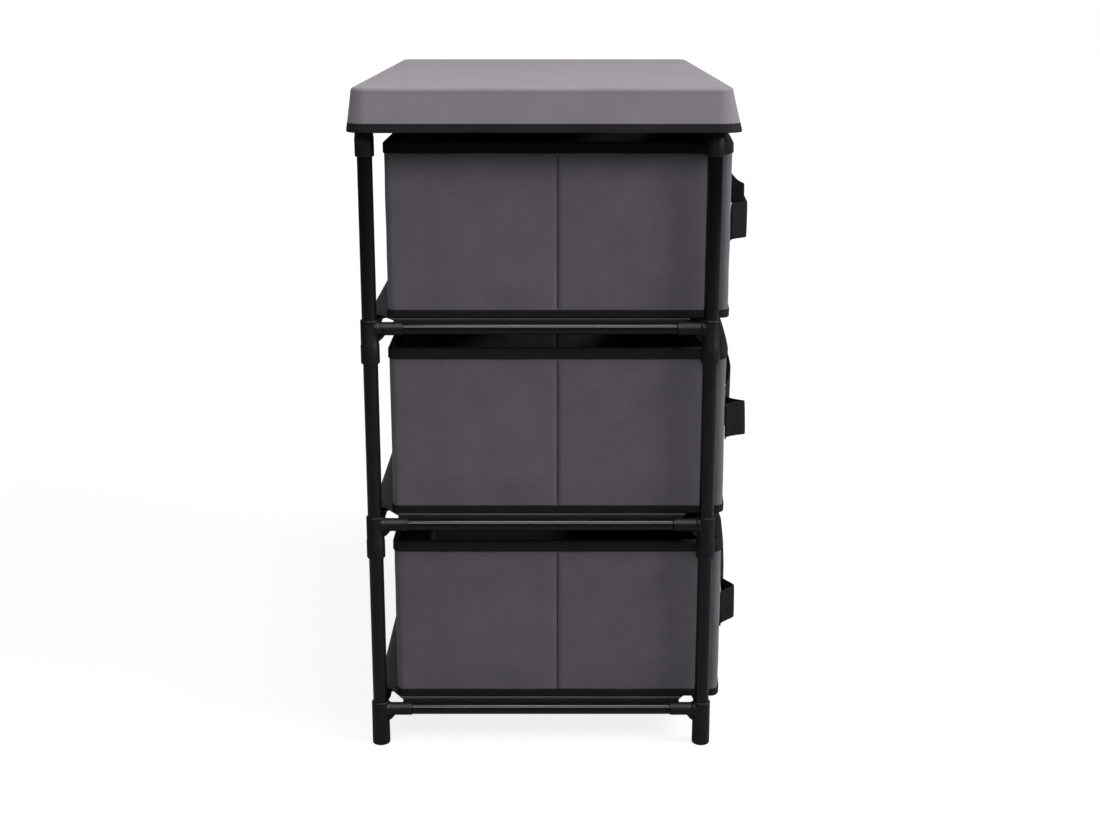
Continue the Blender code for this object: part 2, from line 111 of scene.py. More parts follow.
# %% End caps
def cap_ends(mesh, count):
    """Close the open ends of a tube whose first and last rings have count points each."""
    last = len(mesh.vertices) - 1
    bm = bmesh.new()
    bm.from_mesh(mesh)
    bm.verts.ensure_lookup_table()
    for ring in (range(count), range(last, last - count, -1)):
        bm.faces.new([bm.verts[k] for k in ring])
    bm.to_mesh(mesh)
    bm.free()
    return mesh


# %% Piece helpers
def put(name, data):
    """A new object in the scene."""
    made = bpy.data.objects.new(name, data)
    bpy.context.scene.collection.objects.link(made)
    return made


def add_piece(name, mesh, material, body, replaces=(), angle=35):
    """Make a mesh a piece that rides on a CAD body and stands for the named CAD nodes."""
    mesh.name = name
    mesh.shade_smooth()
    mesh.set_sharp_from_angle(angle=math.radians(angle))
    mesh.materials.append(material)
    piece = put(name, mesh)
    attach(piece, body)
    if replaces:
        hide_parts(*replaces)
    return piece


# %% [markdown]
# ## Shared effects
# Several finishes share the same small effects. Image textures could carry them, but noise that is
# worked out needs no file and stays sharp close by. Each effect is a node group that gives out a
# mask or a height, placed in the materials with values of its own.

# %% Node helpers
def new_group(name, inputs, outputs):
    """A shader node group; inputs are (name, kind, value) and outputs (name, kind)."""
    group = bpy.data.node_groups.new(name, "ShaderNodeTree")
    for label, kind, value in inputs:
        socket = group.interface.new_socket(label, in_out="INPUT", socket_type="NodeSocket" + kind)
        if value is not None:
            socket.default_value = value
    for label, kind in outputs:
        group.interface.new_socket(label, in_out="OUTPUT", socket_type="NodeSocket" + kind)
    return group, group.nodes.new("NodeGroupInput"), group.nodes.new("NodeGroupOutput")


def add_node(tree, kind, links=(), **settings):
    """Add a node, set its fields, and link or fill its inputs: (input, socket or value)."""
    node = tree.nodes.new("ShaderNode" + kind)
    for field, value in settings.items():
        setattr(node, field, value)
    for key, value in links:
        if isinstance(value, bpy.types.NodeSocket):
            tree.links.new(value, node.inputs[key])
        else:
            node.inputs[key].default_value = value
    return node


def maths(tree, operation, a, b=0.0, clamp=False):
    """One Math node; gives its output socket."""
    return add_node(tree, "Math", [(0, a), (1, b)], operation=operation, use_clamp=clamp).outputs[0]


def noise(tree, vector, scale, detail):
    """One Noise node; gives its factor socket."""
    links = [("Vector", vector), ("Scale", scale), ("Detail", detail)]
    return add_node(tree, "TexNoise", links).outputs[0]


def spread(tree, value, low, high, to_low=0.0, to_high=1.0):
    """Stretch the band from low to high over another one, held at its ends; gives the socket."""
    links = [("Value", value), ("From Min", low), ("From Max", high), ("To Min", to_low),
             ("To Max", to_high)]
    return add_node(tree, "MapRange", links).outputs[0]


# %% [markdown]
# ### Spun-bonded fabric
# The drawers and the cover are spun-bonded fabric: fine fibres laid at random and welded together
# at small dots. The group adds fibres as stretched noise in two directions, the weld dots as a
# diamond lattice, and a slow mottle, because the fibre mat is never quite even.

# %% Fabric group
def make_fibre_group():
    """Tone = 0.4 mottle + 0.6 fibres - dots x shade; height = fibres - 0.8 dots.

    The dots are |sin(pi (u + v) / pitch) sin(pi (u - v) / pitch)| cubed: a diamond lattice.
    """
    tree, inp, out = new_group(
        "bonded_fibres",
        [("Vector", "Vector", None), ("Dot Pitch", "Float", 0.0016), ("Dot Shade", "Float", 0.35),
         ("Mottle Size", "Float", 0.03)],
        [("Tone", "Float"), ("Height", "Float")])
    vector = inp.outputs["Vector"]
    pitch = maths(tree, "DIVIDE", 1.0, inp.outputs["Dot Pitch"])
    lattice = add_node(tree, "VectorMath", [(0, vector), (3, pitch)], operation="SCALE").outputs[0]
    split = add_node(tree, "SeparateXYZ", [(0, lattice)])
    waves = []
    for operation in ("ADD", "SUBTRACT"):
        slanted = maths(tree, operation, split.outputs[0], split.outputs[1])
        waves.append(maths(tree, "SINE", maths(tree, "MULTIPLY", slanted, math.pi)))
    dots = maths(tree, "POWER", maths(tree, "ABSOLUTE", maths(tree, "MULTIPLY", *waves)), 3.0)
    fibres = []
    for turn, stretch in ((0.5, (900, 5200, 900)), (-0.9, (5000, 800, 800))):
        mapped = add_node(tree, "Mapping", [("Vector", vector), ("Rotation", (0, 0, turn)),
                                            ("Scale", stretch)]).outputs[0]
        fibres.append(noise(tree, mapped, 1.0, 2.0))
    fibre = maths(tree, "MULTIPLY", maths(tree, "ADD", *fibres), 0.5)
    mottle = noise(tree, vector, maths(tree, "DIVIDE", 1.0, inp.outputs["Mottle Size"]), 3.0)
    slow, fine = maths(tree, "MULTIPLY", mottle, 0.40), maths(tree, "MULTIPLY", fibre, 0.60)
    uneven = maths(tree, "ADD", slow, fine)
    tone = maths(tree, "SUBTRACT", uneven, maths(tree, "MULTIPLY", dots, inp.outputs["Dot Shade"]))
    height = maths(tree, "SUBTRACT", fibre, maths(tree, "MULTIPLY", dots, 0.8))
    tree.links.new(tone, out.inputs["Tone"])
    tree.links.new(height, out.inputs["Height"])
    return tree


FIBRES = make_fibre_group()
print("fabric group nodes:", len(FIBRES.nodes))


# %% [markdown]
# ### Woven tape
# The bindings and straps are woven tape with fine crosswise ribs. Real threads would take millions
# of faces, and from here they only show as relief. So two sine waves in the UV map's metres give
# the ribs and the threads that pass over them.

# %% Tape group
def make_rib_group():
    """Height = 0.37 (sin of u + 0.35 sin of v), with 1.7 threads to a rib; tone = height and fuzz."""
    tree, inp, out = new_group(
        "tape_ribs", [("Vector", "Vector", None), ("Rib Pitch", "Float", 0.0011)],
        [("Tone", "Float"), ("Height", "Float")])
    turns = maths(tree, "DIVIDE", 2 * math.pi, inp.outputs["Rib Pitch"])
    split = add_node(tree, "SeparateXYZ", [(0, inp.outputs["Vector"])])
    rib = maths(tree, "SINE", maths(tree, "MULTIPLY", split.outputs[0], turns))
    closer = maths(tree, "MULTIPLY", turns, 1.7)
    warp = maths(tree, "SINE", maths(tree, "MULTIPLY", split.outputs[1], closer))
    height = maths(tree, "MULTIPLY", maths(tree, "ADD", rib, maths(tree, "MULTIPLY", warp, 0.35)), 0.37)
    fuzz = noise(tree, inp.outputs["Vector"], 420.0, 3.0)
    tree.links.new(maths(tree, "ADD", maths(tree, "MULTIPLY", height, 0.35), fuzz), out.inputs["Tone"])
    tree.links.new(height, out.inputs["Height"])
    return tree


RIBS = make_rib_group()
print("tape group nodes:", len(RIBS.nodes))


# %% [markdown]
# ### Fine grain and dust
# Powder coat and moulded plastic both have a fine orange-peel grain, and black surfaces show a
# little pale dust where they face up. Dust could be painted on by hand, but a mask made from the
# surface's normal finds the right places on every piece.

# %% Grain and dust group
def make_grain_group():
    """Dust = how far the face looks up x specks x the amount; specks are a slow noise's pale end."""
    tree, inp, out = new_group(
        "grain_and_dust", [("Vector", "Vector", None), ("Grain", "Float", 900.0), ("Dust", "Float", 0.2)],
        [("Dust Mask", "Float"), ("Height", "Float"), ("Patch", "Float")])
    vector = inp.outputs["Vector"]
    grain = noise(tree, vector, inp.outputs["Grain"], 2.0)
    patch = noise(tree, vector, 28.0, 4.0)
    normal = add_node(tree, "NewGeometry").outputs["Normal"]
    up = maths(tree, "MAXIMUM", add_node(tree, "SeparateXYZ", [(0, normal)]).outputs[2], 0.0)
    specks = maths(tree, "MULTIPLY", maths(tree, "SUBTRACT", patch, 0.35, clamp=True), 2.0, clamp=True)
    dust = maths(tree, "MULTIPLY", maths(tree, "MULTIPLY", up, specks), inp.outputs["Dust"])
    tree.links.new(dust, out.inputs["Dust Mask"])
    tree.links.new(grain, out.inputs["Height"])
    tree.links.new(patch, out.inputs["Patch"])
    return tree


GRAIN = make_grain_group()
print("grain group nodes:", len(GRAIN.nodes))


# %% [markdown]
# ## Finishes
# Each finish is a Principled material. The groups feed its colour, roughness and bump; plain
# values such as sheen stay on the shader's own sockets.

# %% Fabric materials
def new_material(name, values):
    """A fresh material, its node tree, and its Principled shader with the named inputs filled."""
    material = bpy.data.materials.new(name)
    material.use_nodes = True
    shader = material.node_tree.nodes["Principled BSDF"]
    for label, value in values.items():
        shader.inputs[label].default_value = value
    return material, material.node_tree, shader


def paint(tree, shader, low, high, factor):
    """Give the shader a base colour mixed from low to high by a factor socket."""
    links = [("A", (*low, 1)), ("B", (*high, 1)), ("Factor", factor)]
    mix = add_node(tree, "Mix", links, data_type="RGBA")
    tree.links.new(mix.outputs["Result"], shader.inputs["Base Color"])


def bump(tree, shader, height, distance, strength):
    """Raise the surface by a height socket, in metres of distance."""
    node = add_node(tree, "Bump", [("Height", height), ("Distance", distance), ("Strength", strength)])
    tree.links.new(node.outputs[0], shader.inputs["Normal"])


def bonded_fabric(name, low, high, sheen, dot_pitch=0.0021, mottle=0.03, place="UV"):
    """Spun-bonded fabric between two shades, with its fibres and weld dots as bump."""
    material, tree, shader = new_material(name, {"Roughness": 0.88, "Sheen Weight": sheen,
                                                 "Sheen Roughness": 0.45, "Specular IOR Level": 0.25})
    links = [("Vector", add_node(tree, "TexCoord").outputs[place]), ("Dot Pitch", dot_pitch),
             ("Mottle Size", mottle)]
    cloth = add_node(tree, "Group", links, node_tree=FIBRES)
    paint(tree, shader, low, high, spread(tree, cloth.outputs["Tone"], 0.30, 0.70))
    bump(tree, shader, cloth.outputs["Height"], 0.00016, 0.7)
    return material


DRAWER_FABRIC = bonded_fabric("drawer_fabric", (0.078, 0.070, 0.082), (0.114, 0.103, 0.120), 0.22)
COVER_FABRIC = bonded_fabric("cover_fabric", (0.142, 0.128, 0.143), (0.181, 0.166, 0.183), 0.15,
                             mottle=0.045)
SHELF_FABRIC = bonded_fabric("shelf_fabric", (0.034, 0.031, 0.036), (0.058, 0.054, 0.061), 0.15)
BOARD_WRAP = bonded_fabric("board_wrap", (0.020, 0.018, 0.021), (0.034, 0.031, 0.036), 0.1, place="Object")


def woven_tape(name, low, high, pitch, specular=0.18):
    """Woven tape between two shades, with ribs across it."""
    material, tree, shader = new_material(name, {"Roughness": 0.8, "Sheen Weight": 0.02,
                                                 "Specular IOR Level": specular})
    links = [("Vector", add_node(tree, "TexCoord").outputs["UV"]), ("Rib Pitch", pitch)]
    tape = add_node(tree, "Group", links, node_tree=RIBS)
    paint(tree, shader, low, high, spread(tree, tape.outputs["Tone"], 0.2, 0.8))
    bump(tree, shader, tape.outputs["Height"], 0.0002, 0.8)
    return material


BINDING_TAPE = woven_tape("binding_tape", (0.004, 0.004, 0.005), (0.010, 0.009, 0.011), 0.0009)
STRAP_WEBBING = woven_tape("strap_webbing", (0.003, 0.0027, 0.0034), (0.009, 0.0083, 0.0098), 0.0013, 0.08)


# %% Hard materials
def coated(name, base, dusted, roughness, specular, grain, dust, bump_depth):
    """A dark hard finish with grain, uneven gloss and a little dust."""
    material, tree, shader = new_material(name, {"Specular IOR Level": specular})
    links = [("Vector", add_node(tree, "TexCoord").outputs["Object"]), ("Grain", grain), ("Dust", dust)]
    surface = add_node(tree, "Group", links, node_tree=GRAIN)
    paint(tree, shader, base, dusted, surface.outputs["Dust Mask"])
    gloss = spread(tree, surface.outputs["Patch"], 0.3, 0.7, roughness - 0.05, roughness + 0.06)
    tree.links.new(gloss, shader.inputs["Roughness"])
    bump(tree, shader, surface.outputs["Height"], bump_depth, 0.5)
    return material


FRAME_STEEL = coated("frame_steel", (0.0022, 0.002, 0.0028), (0.10, 0.10, 0.10), 0.17, 0.29,
                     1400.0, 0.04, 0.000012)
CONNECTOR_PLASTIC = coated("connector_plastic", (0.0026, 0.0030, 0.0042), (0.11, 0.11, 0.11), 0.43, 0.26,
                           2400.0, 0.05, 0.00005)


# %% Thread and board materials
def thread(name, colour):
    """Matt thread whose twist shows as a fine change of shade."""
    material, tree, shader = new_material(name, {"Roughness": 0.75, "Specular IOR Level": 0.2})
    twist = noise(tree, add_node(tree, "TexCoord").outputs["Object"], 1800.0, 1.0)
    paint(tree, shader, tuple(c * 0.6 for c in colour), colour, twist)
    return material


DARK_THREAD = thread("dark_thread", (0.012, 0.011, 0.013))
HEM_THREAD = thread("hem_thread", (0.020, 0.018, 0.021))


def make_fibreboard():
    """Pressed board: fine pale and dark fibres, slightly mottled."""
    material, tree, shader = new_material("fibreboard", {"Roughness": 0.75})
    place = add_node(tree, "TexCoord").outputs["Object"]
    fine = noise(tree, place, 900.0, 5.0)
    slow = noise(tree, place, 14.0, 3.0)
    both = maths(tree, "ADD", maths(tree, "MULTIPLY", fine, 0.6), maths(tree, "MULTIPLY", slow, 0.4))
    paint(tree, shader, (0.20, 0.13, 0.075), (0.36, 0.26, 0.16), spread(tree, both, 0.35, 0.65))
    bump(tree, shader, fine, 0.0001, 0.4)
    return material


FIBREBOARD = make_fibreboard()
for node_name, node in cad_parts.items():
    if "board" in node_name:
        node.data.materials.clear()
        node.data.materials.append(FIBREBOARD if node_name == "top_board" else BOARD_WRAP)
print("materials:", len(bpy.data.materials))


# %% [markdown]
# ## Tubes
# Posts and rails are thin steel tube. A cylinder primitive would give the outside only, so each is
# a small wall section turned about its axis: bore, cut ends and broken edges come in one go, fine
# enough to show a clean highlight.

# %% Turned shapes
TURN_STEPS = 48


def turned(profile):
    """Turn (radius, height) points round Z: x = r cos a, y = r sin a, z = h."""
    angle = np.linspace(0, 2 * np.pi, TURN_STEPS, endpoint=False)
    radius, height = np.asarray(profile, float).T
    grid = np.stack([radius[:, None] * np.cos(angle), radius[:, None] * np.sin(angle),
                     np.repeat(height[:, None], TURN_STEPS, axis=1)], axis=2)
    around = np.linspace(0, 2 * np.pi * radius.max(), TURN_STEPS + 1)
    return grid, running_length(np.stack([radius, height], axis=1)), around


def lay(grid, axis):
    """Turn a shape made round Z so that it lies along X or Y, by passing its coordinates on in turn."""
    x, y, z = np.moveaxis(grid, -1, 0)
    if axis == "X":
        return np.stack([z, x, y], axis=-1)
    if axis == "Y":
        return np.stack([y, z, x], axis=-1)
    return grid


# %% Posts and rails
TUBE_WALL = 0.0008
TUBE_EDGE = 0.0002


def tube_mesh(radius, length, axis, centre):
    """A tube's wall section, with its cut ends slightly broken, turned and laid in place."""
    half, edge = length / 2, TUBE_EDGE
    bore = radius - TUBE_WALL
    profile = [(radius - edge, half), (radius, half - edge), (radius, -half + edge),
               (radius - edge, -half), (bore, -half), (bore, half)]
    grid, along, around = turned(profile)
    along = np.append(along, along[-1] + TUBE_WALL)
    grid = lay(grid, axis) + np.asarray(centre)
    return grid_mesh(grid, along, around, close_u=True, close_v=True)


def build_tubes():
    """Take each tube's axis, length and radius from its CAD box: the longest side and half the next."""
    made = 0
    for node_name in sorted(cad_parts):
        if "_post_" not in node_name and "_rail_" not in node_name:
            continue
        low, high = (np.array(c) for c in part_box(node_name))
        size = high - low
        axis = "XYZ"[int(size.argmax())]
        radius = np.sort(size)[1] / 2
        mesh = tube_mesh(radius, size.max(), axis, (low + high) / 2)
        add_piece(node_name + "_tube", mesh, FRAME_STEEL, "frame", [node_name])
        made += 1
    return made


print("tubes:", build_tubes())


# %% [markdown]
# ## Moulded corners
# Each corner is one moulding: a sleeve that the posts plug into, two arms that plug into the rails,
# and a small web under each arm. One grid can't branch like that, so turned shapes with rounded rims
# are joined by Booleans. That is slow, so it is done once for each kind, and the result is copied
# to the corners as plain points.

# %% Corner shapes
# Radii of the sleeve, its thicker lower collar, its bore, its foot, an arm and the arm's plug
SLEEVE_R, COLLAR_R, BORE_R, FOOT_R = 0.0073, 0.0076, 0.0063, 0.0075
ARM_R, SPIGOT_R = 0.0054, 0.0037
# Heights from the rails' level: the sleeve's ends, where the collar starts, and the wall between
# the upper and the lower socket
SLEEVE_TOP, SLEEVE_END, COLLAR_AT = 0.0075, -0.0285, -0.0130
SOCKET_FLOOR, SOCKET_ROOF = -0.0100, -0.0115
# How far a boring tool reaches past the sleeve's ends, and how far an arm and its plug reach out
PAST_TOP, PAST_END = 0.0100, -0.0320
ARM_END, SPIGOT_END = 0.0270, 0.0410
WEB_LEG, WEB_HALF = 0.0052, 0.0019


def middle(node_name):
    """The middle of a CAD node's box."""
    low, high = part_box(node_name)
    return np.array([(a + b) / 2 for a, b in zip(low, high)])


FOOT_Z = middle("foot_rail_left")[2]


def rim(radius, height, fillet, direction, steps=5):
    """A quarter round from a bar's side to its end: direction is +1 at the top, -1 at the bottom."""
    angle = np.linspace(0, np.pi / 2, steps)
    r = radius - fillet + fillet * np.cos(angle)
    z = height - direction * (fillet - fillet * np.sin(angle))
    return list(zip(r, z))


def sleeve_profile(kind):
    """The sleeve's outline, from its top centre down its side to its bottom centre."""
    points = [(0, SLEEVE_TOP)] + rim(SLEEVE_R, SLEEVE_TOP, 0.0010, 1)[::-1]
    if kind == "foot":
        return points + rim(FOOT_R, -FOOT_Z, 0.0012, -1) + [(0, -FOOT_Z)]
    points += [(SLEEVE_R, COLLAR_AT + 0.0003), (COLLAR_R, COLLAR_AT - 0.0003)]
    return points + rim(COLLAR_R, SLEEVE_END, 0.0012, -1) + [(0, SLEEVE_END)]


def arm_profile():
    """The arm's outline from its plug's tip back to the sleeve, with a soft root."""
    points = [(0, SPIGOT_END)] + rim(SPIGOT_R, SPIGOT_END, 0.0008, 1, 4)[::-1]
    points += [(SPIGOT_R, ARM_END + 0.0001)] + rim(ARM_R, ARM_END, 0.0006, 1, 4)[::-1]
    away = np.linspace(0, 1, 7)
    root = [(ARM_R + 0.0011 * t ** 2.2, SLEEVE_R + 0.0030 - 0.0034 * t) for t in away]
    return points + root + [(root[-1][0], 0.0), (0, 0.0)]


# %% Boolean helpers
def solid_from(profile, axis="Z"):
    """A closed turned solid as an object."""
    grid, along, around = turned(profile)
    return put("solid", merged(grid_mesh(lay(grid, axis), along, around, close_v=True)))


def web_object(along_x):
    """A 45 degree web under an arm: a thin prism whose slanted face bulges by half a sine wave."""
    inside = 0.003
    t = np.linspace(0, 1, 6)
    slant = -ARM_R + 0.0006 - WEB_LEG * t - 0.0007 * np.sin(np.pi * t)
    out = np.concatenate([[inside], SLEEVE_R + WEB_LEG * (1 - t), [inside]])
    down = np.concatenate([[-0.002], slant, [-ARM_R - WEB_LEG]])
    sides = []
    for side in (-WEB_HALF, WEB_HALF):
        flat = np.full_like(out, side)
        sides.append(np.stack([out, flat, down] if along_x else [flat, out, down], axis=1))
    count = len(out)
    points = np.concatenate(sides)
    quads = [[k, (k + 1) % count, count + (k + 1) % count, count + k] for k in range(count)]
    faces = [list(range(count))[::-1], list(range(count, 2 * count))] + quads
    mesh = bpy.data.meshes.new("web")
    mesh.from_pydata(points.tolist(), [], faces)
    bm = bmesh.new()
    bm.from_mesh(mesh)
    bmesh.ops.recalc_face_normals(bm, faces=bm.faces)
    bm.to_mesh(mesh)
    bm.free()
    return put("web", mesh)


def joined(base, unions, cuts):
    """The base with solids joined to it and cut from it, as a mesh; the objects are removed."""
    tools = [(obj, "UNION") for obj in unions] + [(obj, "DIFFERENCE") for obj in cuts]
    for tool, operation in tools:
        step = base.modifiers.new(operation.lower(), "BOOLEAN")
        step.operation = operation
        step.object = tool
    bpy.context.view_layer.update()
    mesh = bpy.data.meshes.new_from_object(base.evaluated_get(bpy.context.evaluated_depsgraph_get()))
    for obj in [base] + [tool for tool, _ in tools]:
        bpy.data.objects.remove(obj, do_unlink=True)
    return mesh


# %% Build one corner of each kind
def boring(top, bottom):
    """The round solid that cuts a post's socket."""
    return solid_from([(0, top), (BORE_R, top), (BORE_R, bottom), (0, bottom)])


def corner_mesh(kind):
    """One moulding about its own post axis, arms along +X and +Y."""
    unions = [solid_from(arm_profile(), axis) for axis in "XY"] + [web_object(True), web_object(False)]
    cuts = []
    if kind != "top":
        cuts.append(boring(PAST_TOP, SOCKET_FLOOR))
    if kind != "foot":
        cuts.append(boring(SOCKET_ROOF, PAST_END))
    mesh = joined(solid_from(sleeve_profile(kind)), unions, cuts)
    mesh.materials.clear()
    return merged(mesh)


def points_of(mesh):
    """A mesh's points as an array."""
    flat = np.empty(len(mesh.vertices) * 3, np.float32)
    mesh.vertices.foreach_get("co", flat)
    return flat.reshape(-1, 3)


# %% Place the sixteen corners
QUARTER_TURNS = {"front_left": 0, "front_right": 1, "rear_right": 2, "rear_left": 3}


def build_corners():
    """Turn each kind's points by quarter turns about Z and move them to the posts and levels."""
    kinds = {"foot": "foot", "lower": "middle", "upper": "middle", "top": "top"}
    shapes = {kind: corner_mesh(kind) for kind in ("foot", "middle", "top")}
    for level, kind in kinds.items():
        for corner, turns in QUARTER_TURNS.items():
            place = np.append(middle("bottom_post_" + corner)[:2], middle(level + "_rail_left")[2])
            mesh = shapes[kind].copy()
            cos, sin = round(math.cos(turns * math.pi / 2)), round(math.sin(turns * math.pi / 2))
            spin = np.array([[cos, -sin, 0], [sin, cos, 0], [0, 0, 1]])
            moved = points_of(mesh) @ spin.T + place
            mesh.vertices.foreach_set("co", moved.astype(np.float32).ravel())
            mesh.update()
            node = f"{level}_connector_{corner}"
            add_piece(node + "_moulding", mesh, CONNECTOR_PLASTIC, "frame", [node],
                      angle=30)
    return {kind: len(mesh.polygons) for kind, mesh in shapes.items()}


print("corner faces:", build_corners())


# %% [markdown]
# ## Gentle unevenness
# Sewn fabric is never dead flat. Noise on the surface would do it too, but a handful of sine waves
# has a known greatest height, so that no piece runs into its neighbour. Their directions and phases
# come from a fixed seed, and the script gives the same cloth each time.

# %% Ripples
def ripples(a, b, sizes, seed):
    """Sum of sine waves over two lengths in metres; the result stays within about -1 to 1."""
    rng = np.random.default_rng(seed)
    total = np.zeros(np.broadcast(a, b).shape)
    for size in sizes:
        turn, phase = rng.uniform(0, np.pi), rng.uniform(0, 2 * np.pi)
        total = total + np.sin(2 * np.pi * (a * np.cos(turn) + b * np.sin(turn)) / size + phase)
    return total / len(sizes)


def smooth_step(t):
    """3 t^2 - 2 t^3, held at 0 and 1 outside."""
    t = np.clip(t, 0, 1)
    return t * t * (3 - 2 * t)


# %% [markdown]
# ## Round a plan
# The drawers and the cover share one way of building: a closed plan, seen from above, and a section
# that says how far each row stands off the plan and how high it lies. Lofting a curve would do too,
# but whole arrays keep every row's points over the plan's points, so tapes and stitches can follow.

# %% Plan helpers
def off_plan(plan, normals, stand):
    """Plan points moved out along their normals; stand has one value for each row or each point."""
    return plan[None] + normals[None] * stand[..., None]


def at_height(flat, height):
    """Add heights to a grid of plan points; height has one value for each row or each point."""
    return np.concatenate([flat, np.broadcast_to(height, flat.shape[:2])[..., None]], axis=2)


# %% [markdown]
# ## Stitches
# A seam is many short raised threads. A bump would look flat against the light, and an object for
# each thread would make thousands. So each is a slim spindle of a few faces, and all the stitches of
# a seam are placed together as one array and become one mesh.

# %% Stitch helper
def stitch_mesh(centres, along, out, length=0.0023, radius=0.00026):
    """Spindles at the centres: each runs along its tangent and stands out along its normal.

    A point is centre + t L/2 along + r cos a (along x out) + r sin a out, with r thinner at the ends.
    """
    t = np.array([-1.0, -0.8, -0.3, 0.3, 0.8, 1.0])
    thick = radius * np.array([0.25, 0.7, 1.0, 1.0, 0.7, 0.25])
    angle = np.linspace(0, 2 * np.pi, 6, endpoint=False)
    side = np.cross(along, out)
    shape = (centres[:, None, None, :] + (t * length / 2)[None, :, None, None] * along[:, None, None, :]
             + (thick[:, None] * np.cos(angle))[None, :, :, None] * side[:, None, None, :]
             + (thick[:, None] * np.sin(angle))[None, :, :, None] * out[:, None, None, :])
    count, rows, cols = shape.shape[:3]
    i, j = (g.ravel() for g in np.meshgrid(np.arange(rows - 1), np.arange(cols), indexing="ij"))
    after = (j + 1) % cols
    quad = np.stack([i * cols + j, (i + 1) * cols + j, (i + 1) * cols + after, i * cols + after], axis=1)
    quads = (quad[None] + (np.arange(count) * rows * cols)[:, None, None]).reshape(-1, 4)
    first = np.arange(cols)
    ends = np.stack([first, first[::-1] + (rows - 1) * cols])
    caps = (ends[None] + (np.arange(count) * rows * cols)[:, None, None]).reshape(-1, cols)
    mesh = bpy.data.meshes.new("stitches")
    mesh.from_pydata(shape.reshape(-1, 3).tolist(), [], quads.tolist() + caps.tolist())
    return mesh


# %% Places for stitches
def stitches_round(plan, normals, lengths, height, stand, pitch):
    """Stitch centres evenly spaced round a closed plan, with tangents and outward normals.

    A normal is the tangent turned a quarter clockwise, so the tangent is (-normal y, normal x).
    """
    at = np.arange(0, lengths[-1], pitch)
    xy = np.stack([np.interp(at, lengths, np.append(plan[:, k], plan[0, k])) for k in (0, 1)], axis=1)
    nx, ny = normals[np.clip(np.searchsorted(lengths, at) - 1, 0, len(plan) - 1)].T
    level = np.zeros(len(at))
    normal, tangent = np.column_stack([nx, ny, level]), np.column_stack([-ny, nx, level])
    return np.column_stack([xy, level + height]) + normal * stand, tangent, normal


def stitches_up(x, y, z, out):
    """Stitch places at one x and y and many heights, with tangents along Z and one normal."""
    ones = np.ones((len(z), 1))
    return np.column_stack([x * ones, y * ones, z]), ones * [0, 0, 1], ones * out


def stitch_rows(rows):
    """Several rows of stitch places as one."""
    return [np.concatenate(part) for part in zip(*rows)]


# %% [markdown]
# ## Drawers
# Each drawer is a fabric box stiffened by boards sewn into its walls: one board in the front and in
# the rear, two in each side with a fold between them. The fabric puffs a little over each board and
# dips at the fold and the corners. The front bows forward. Five panels sewn together would leave
# seams to hide, so one plan runs round the box, and a section climbs from the middle of the
# underside, up the wall, over the edge and down to the floor.

# %% Drawer plan
BOX_LOW, BOX_HIGH = (np.array(c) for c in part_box("top_drawer_fabric_box"))
# How far the tape stands off the cloth, the wall's thickness, the front's bow and the corners' radius
TAPE = 0.0010
WALL = 0.0042
BOW = 0.0076
CORNER_R = 0.0060
HALF_W = BOX_HIGH[0] - TAPE
REAR_Y = BOX_HIGH[1] - TAPE
FRONT_Y = BOX_LOW[1] + TAPE + BOW
MID_Y = (FRONT_Y + REAR_Y) / 2
DRAWER_H = BOX_HIGH[2] - BOX_LOW[2]
DRAWERS = {"bottom_drawer": 0, "middle_drawer": 1, "top_drawer": 2}


def bowed(x):
    """The front wall's y: a parabola that stands furthest forward at the middle."""
    return FRONT_Y - BOW * (1 - (x / HALF_W) ** 2)


def arc(cx, cy, start, steps=10):
    """A quarter circle of the corner radius, anticlockwise from the start angle in degrees."""
    angle = np.radians(start + np.linspace(0, 90, steps, endpoint=False))
    return np.stack([cx + CORNER_R * np.cos(angle), cy + CORNER_R * np.sin(angle)], axis=1)


def drawer_plan(spacing=0.0030):
    """Points round the drawer, anticlockwise from the front left corner, with normals and lengths.

    The points crowd together near each side's fold, at 6 t^3 + t mm from it for t from -1 to 1.
    """
    w, r = HALF_W, CORNER_R
    across = np.linspace(-(w - r), w - r, int(2 * (w - r) / spacing), endpoint=False)
    t = np.linspace(-1, 1, 15)
    near = 0.0060 * t ** 3 + 0.0010 * t
    half = (REAR_Y - FRONT_Y) / 2 - r
    coarse = np.linspace(-half, -near[-1], int(half / spacing), endpoint=False)
    deep = MID_Y + np.concatenate([coarse, near, -coarse[:0:-1]])
    back = -across
    ends = 2 * MID_Y - deep
    points = np.concatenate([
        arc(-w + r, FRONT_Y + r, 180), np.stack([across, bowed(across)], axis=1),
        arc(w - r, FRONT_Y + r, 270), np.stack([np.full_like(deep, w), deep], axis=1),
        arc(w - r, REAR_Y - r, 0), np.stack([back, np.full_like(back, REAR_Y)], axis=1),
        arc(-w + r, REAR_Y - r, 90), np.stack([np.full_like(ends, -w), ends], axis=1)])
    tangent = np.roll(points, -1, axis=0) - np.roll(points, 1, axis=0)
    tangent /= np.linalg.norm(tangent, axis=1, keepdims=True)
    normal = np.stack([tangent[:, 1], -tangent[:, 0]], axis=1)
    return points, normal, running_length(points, closed=True)


PLAN, PLAN_NORMAL, PLAN_LENGTH = drawer_plan()
print("drawer perimeter in mm:", round(PLAN_LENGTH[-1] / MM))


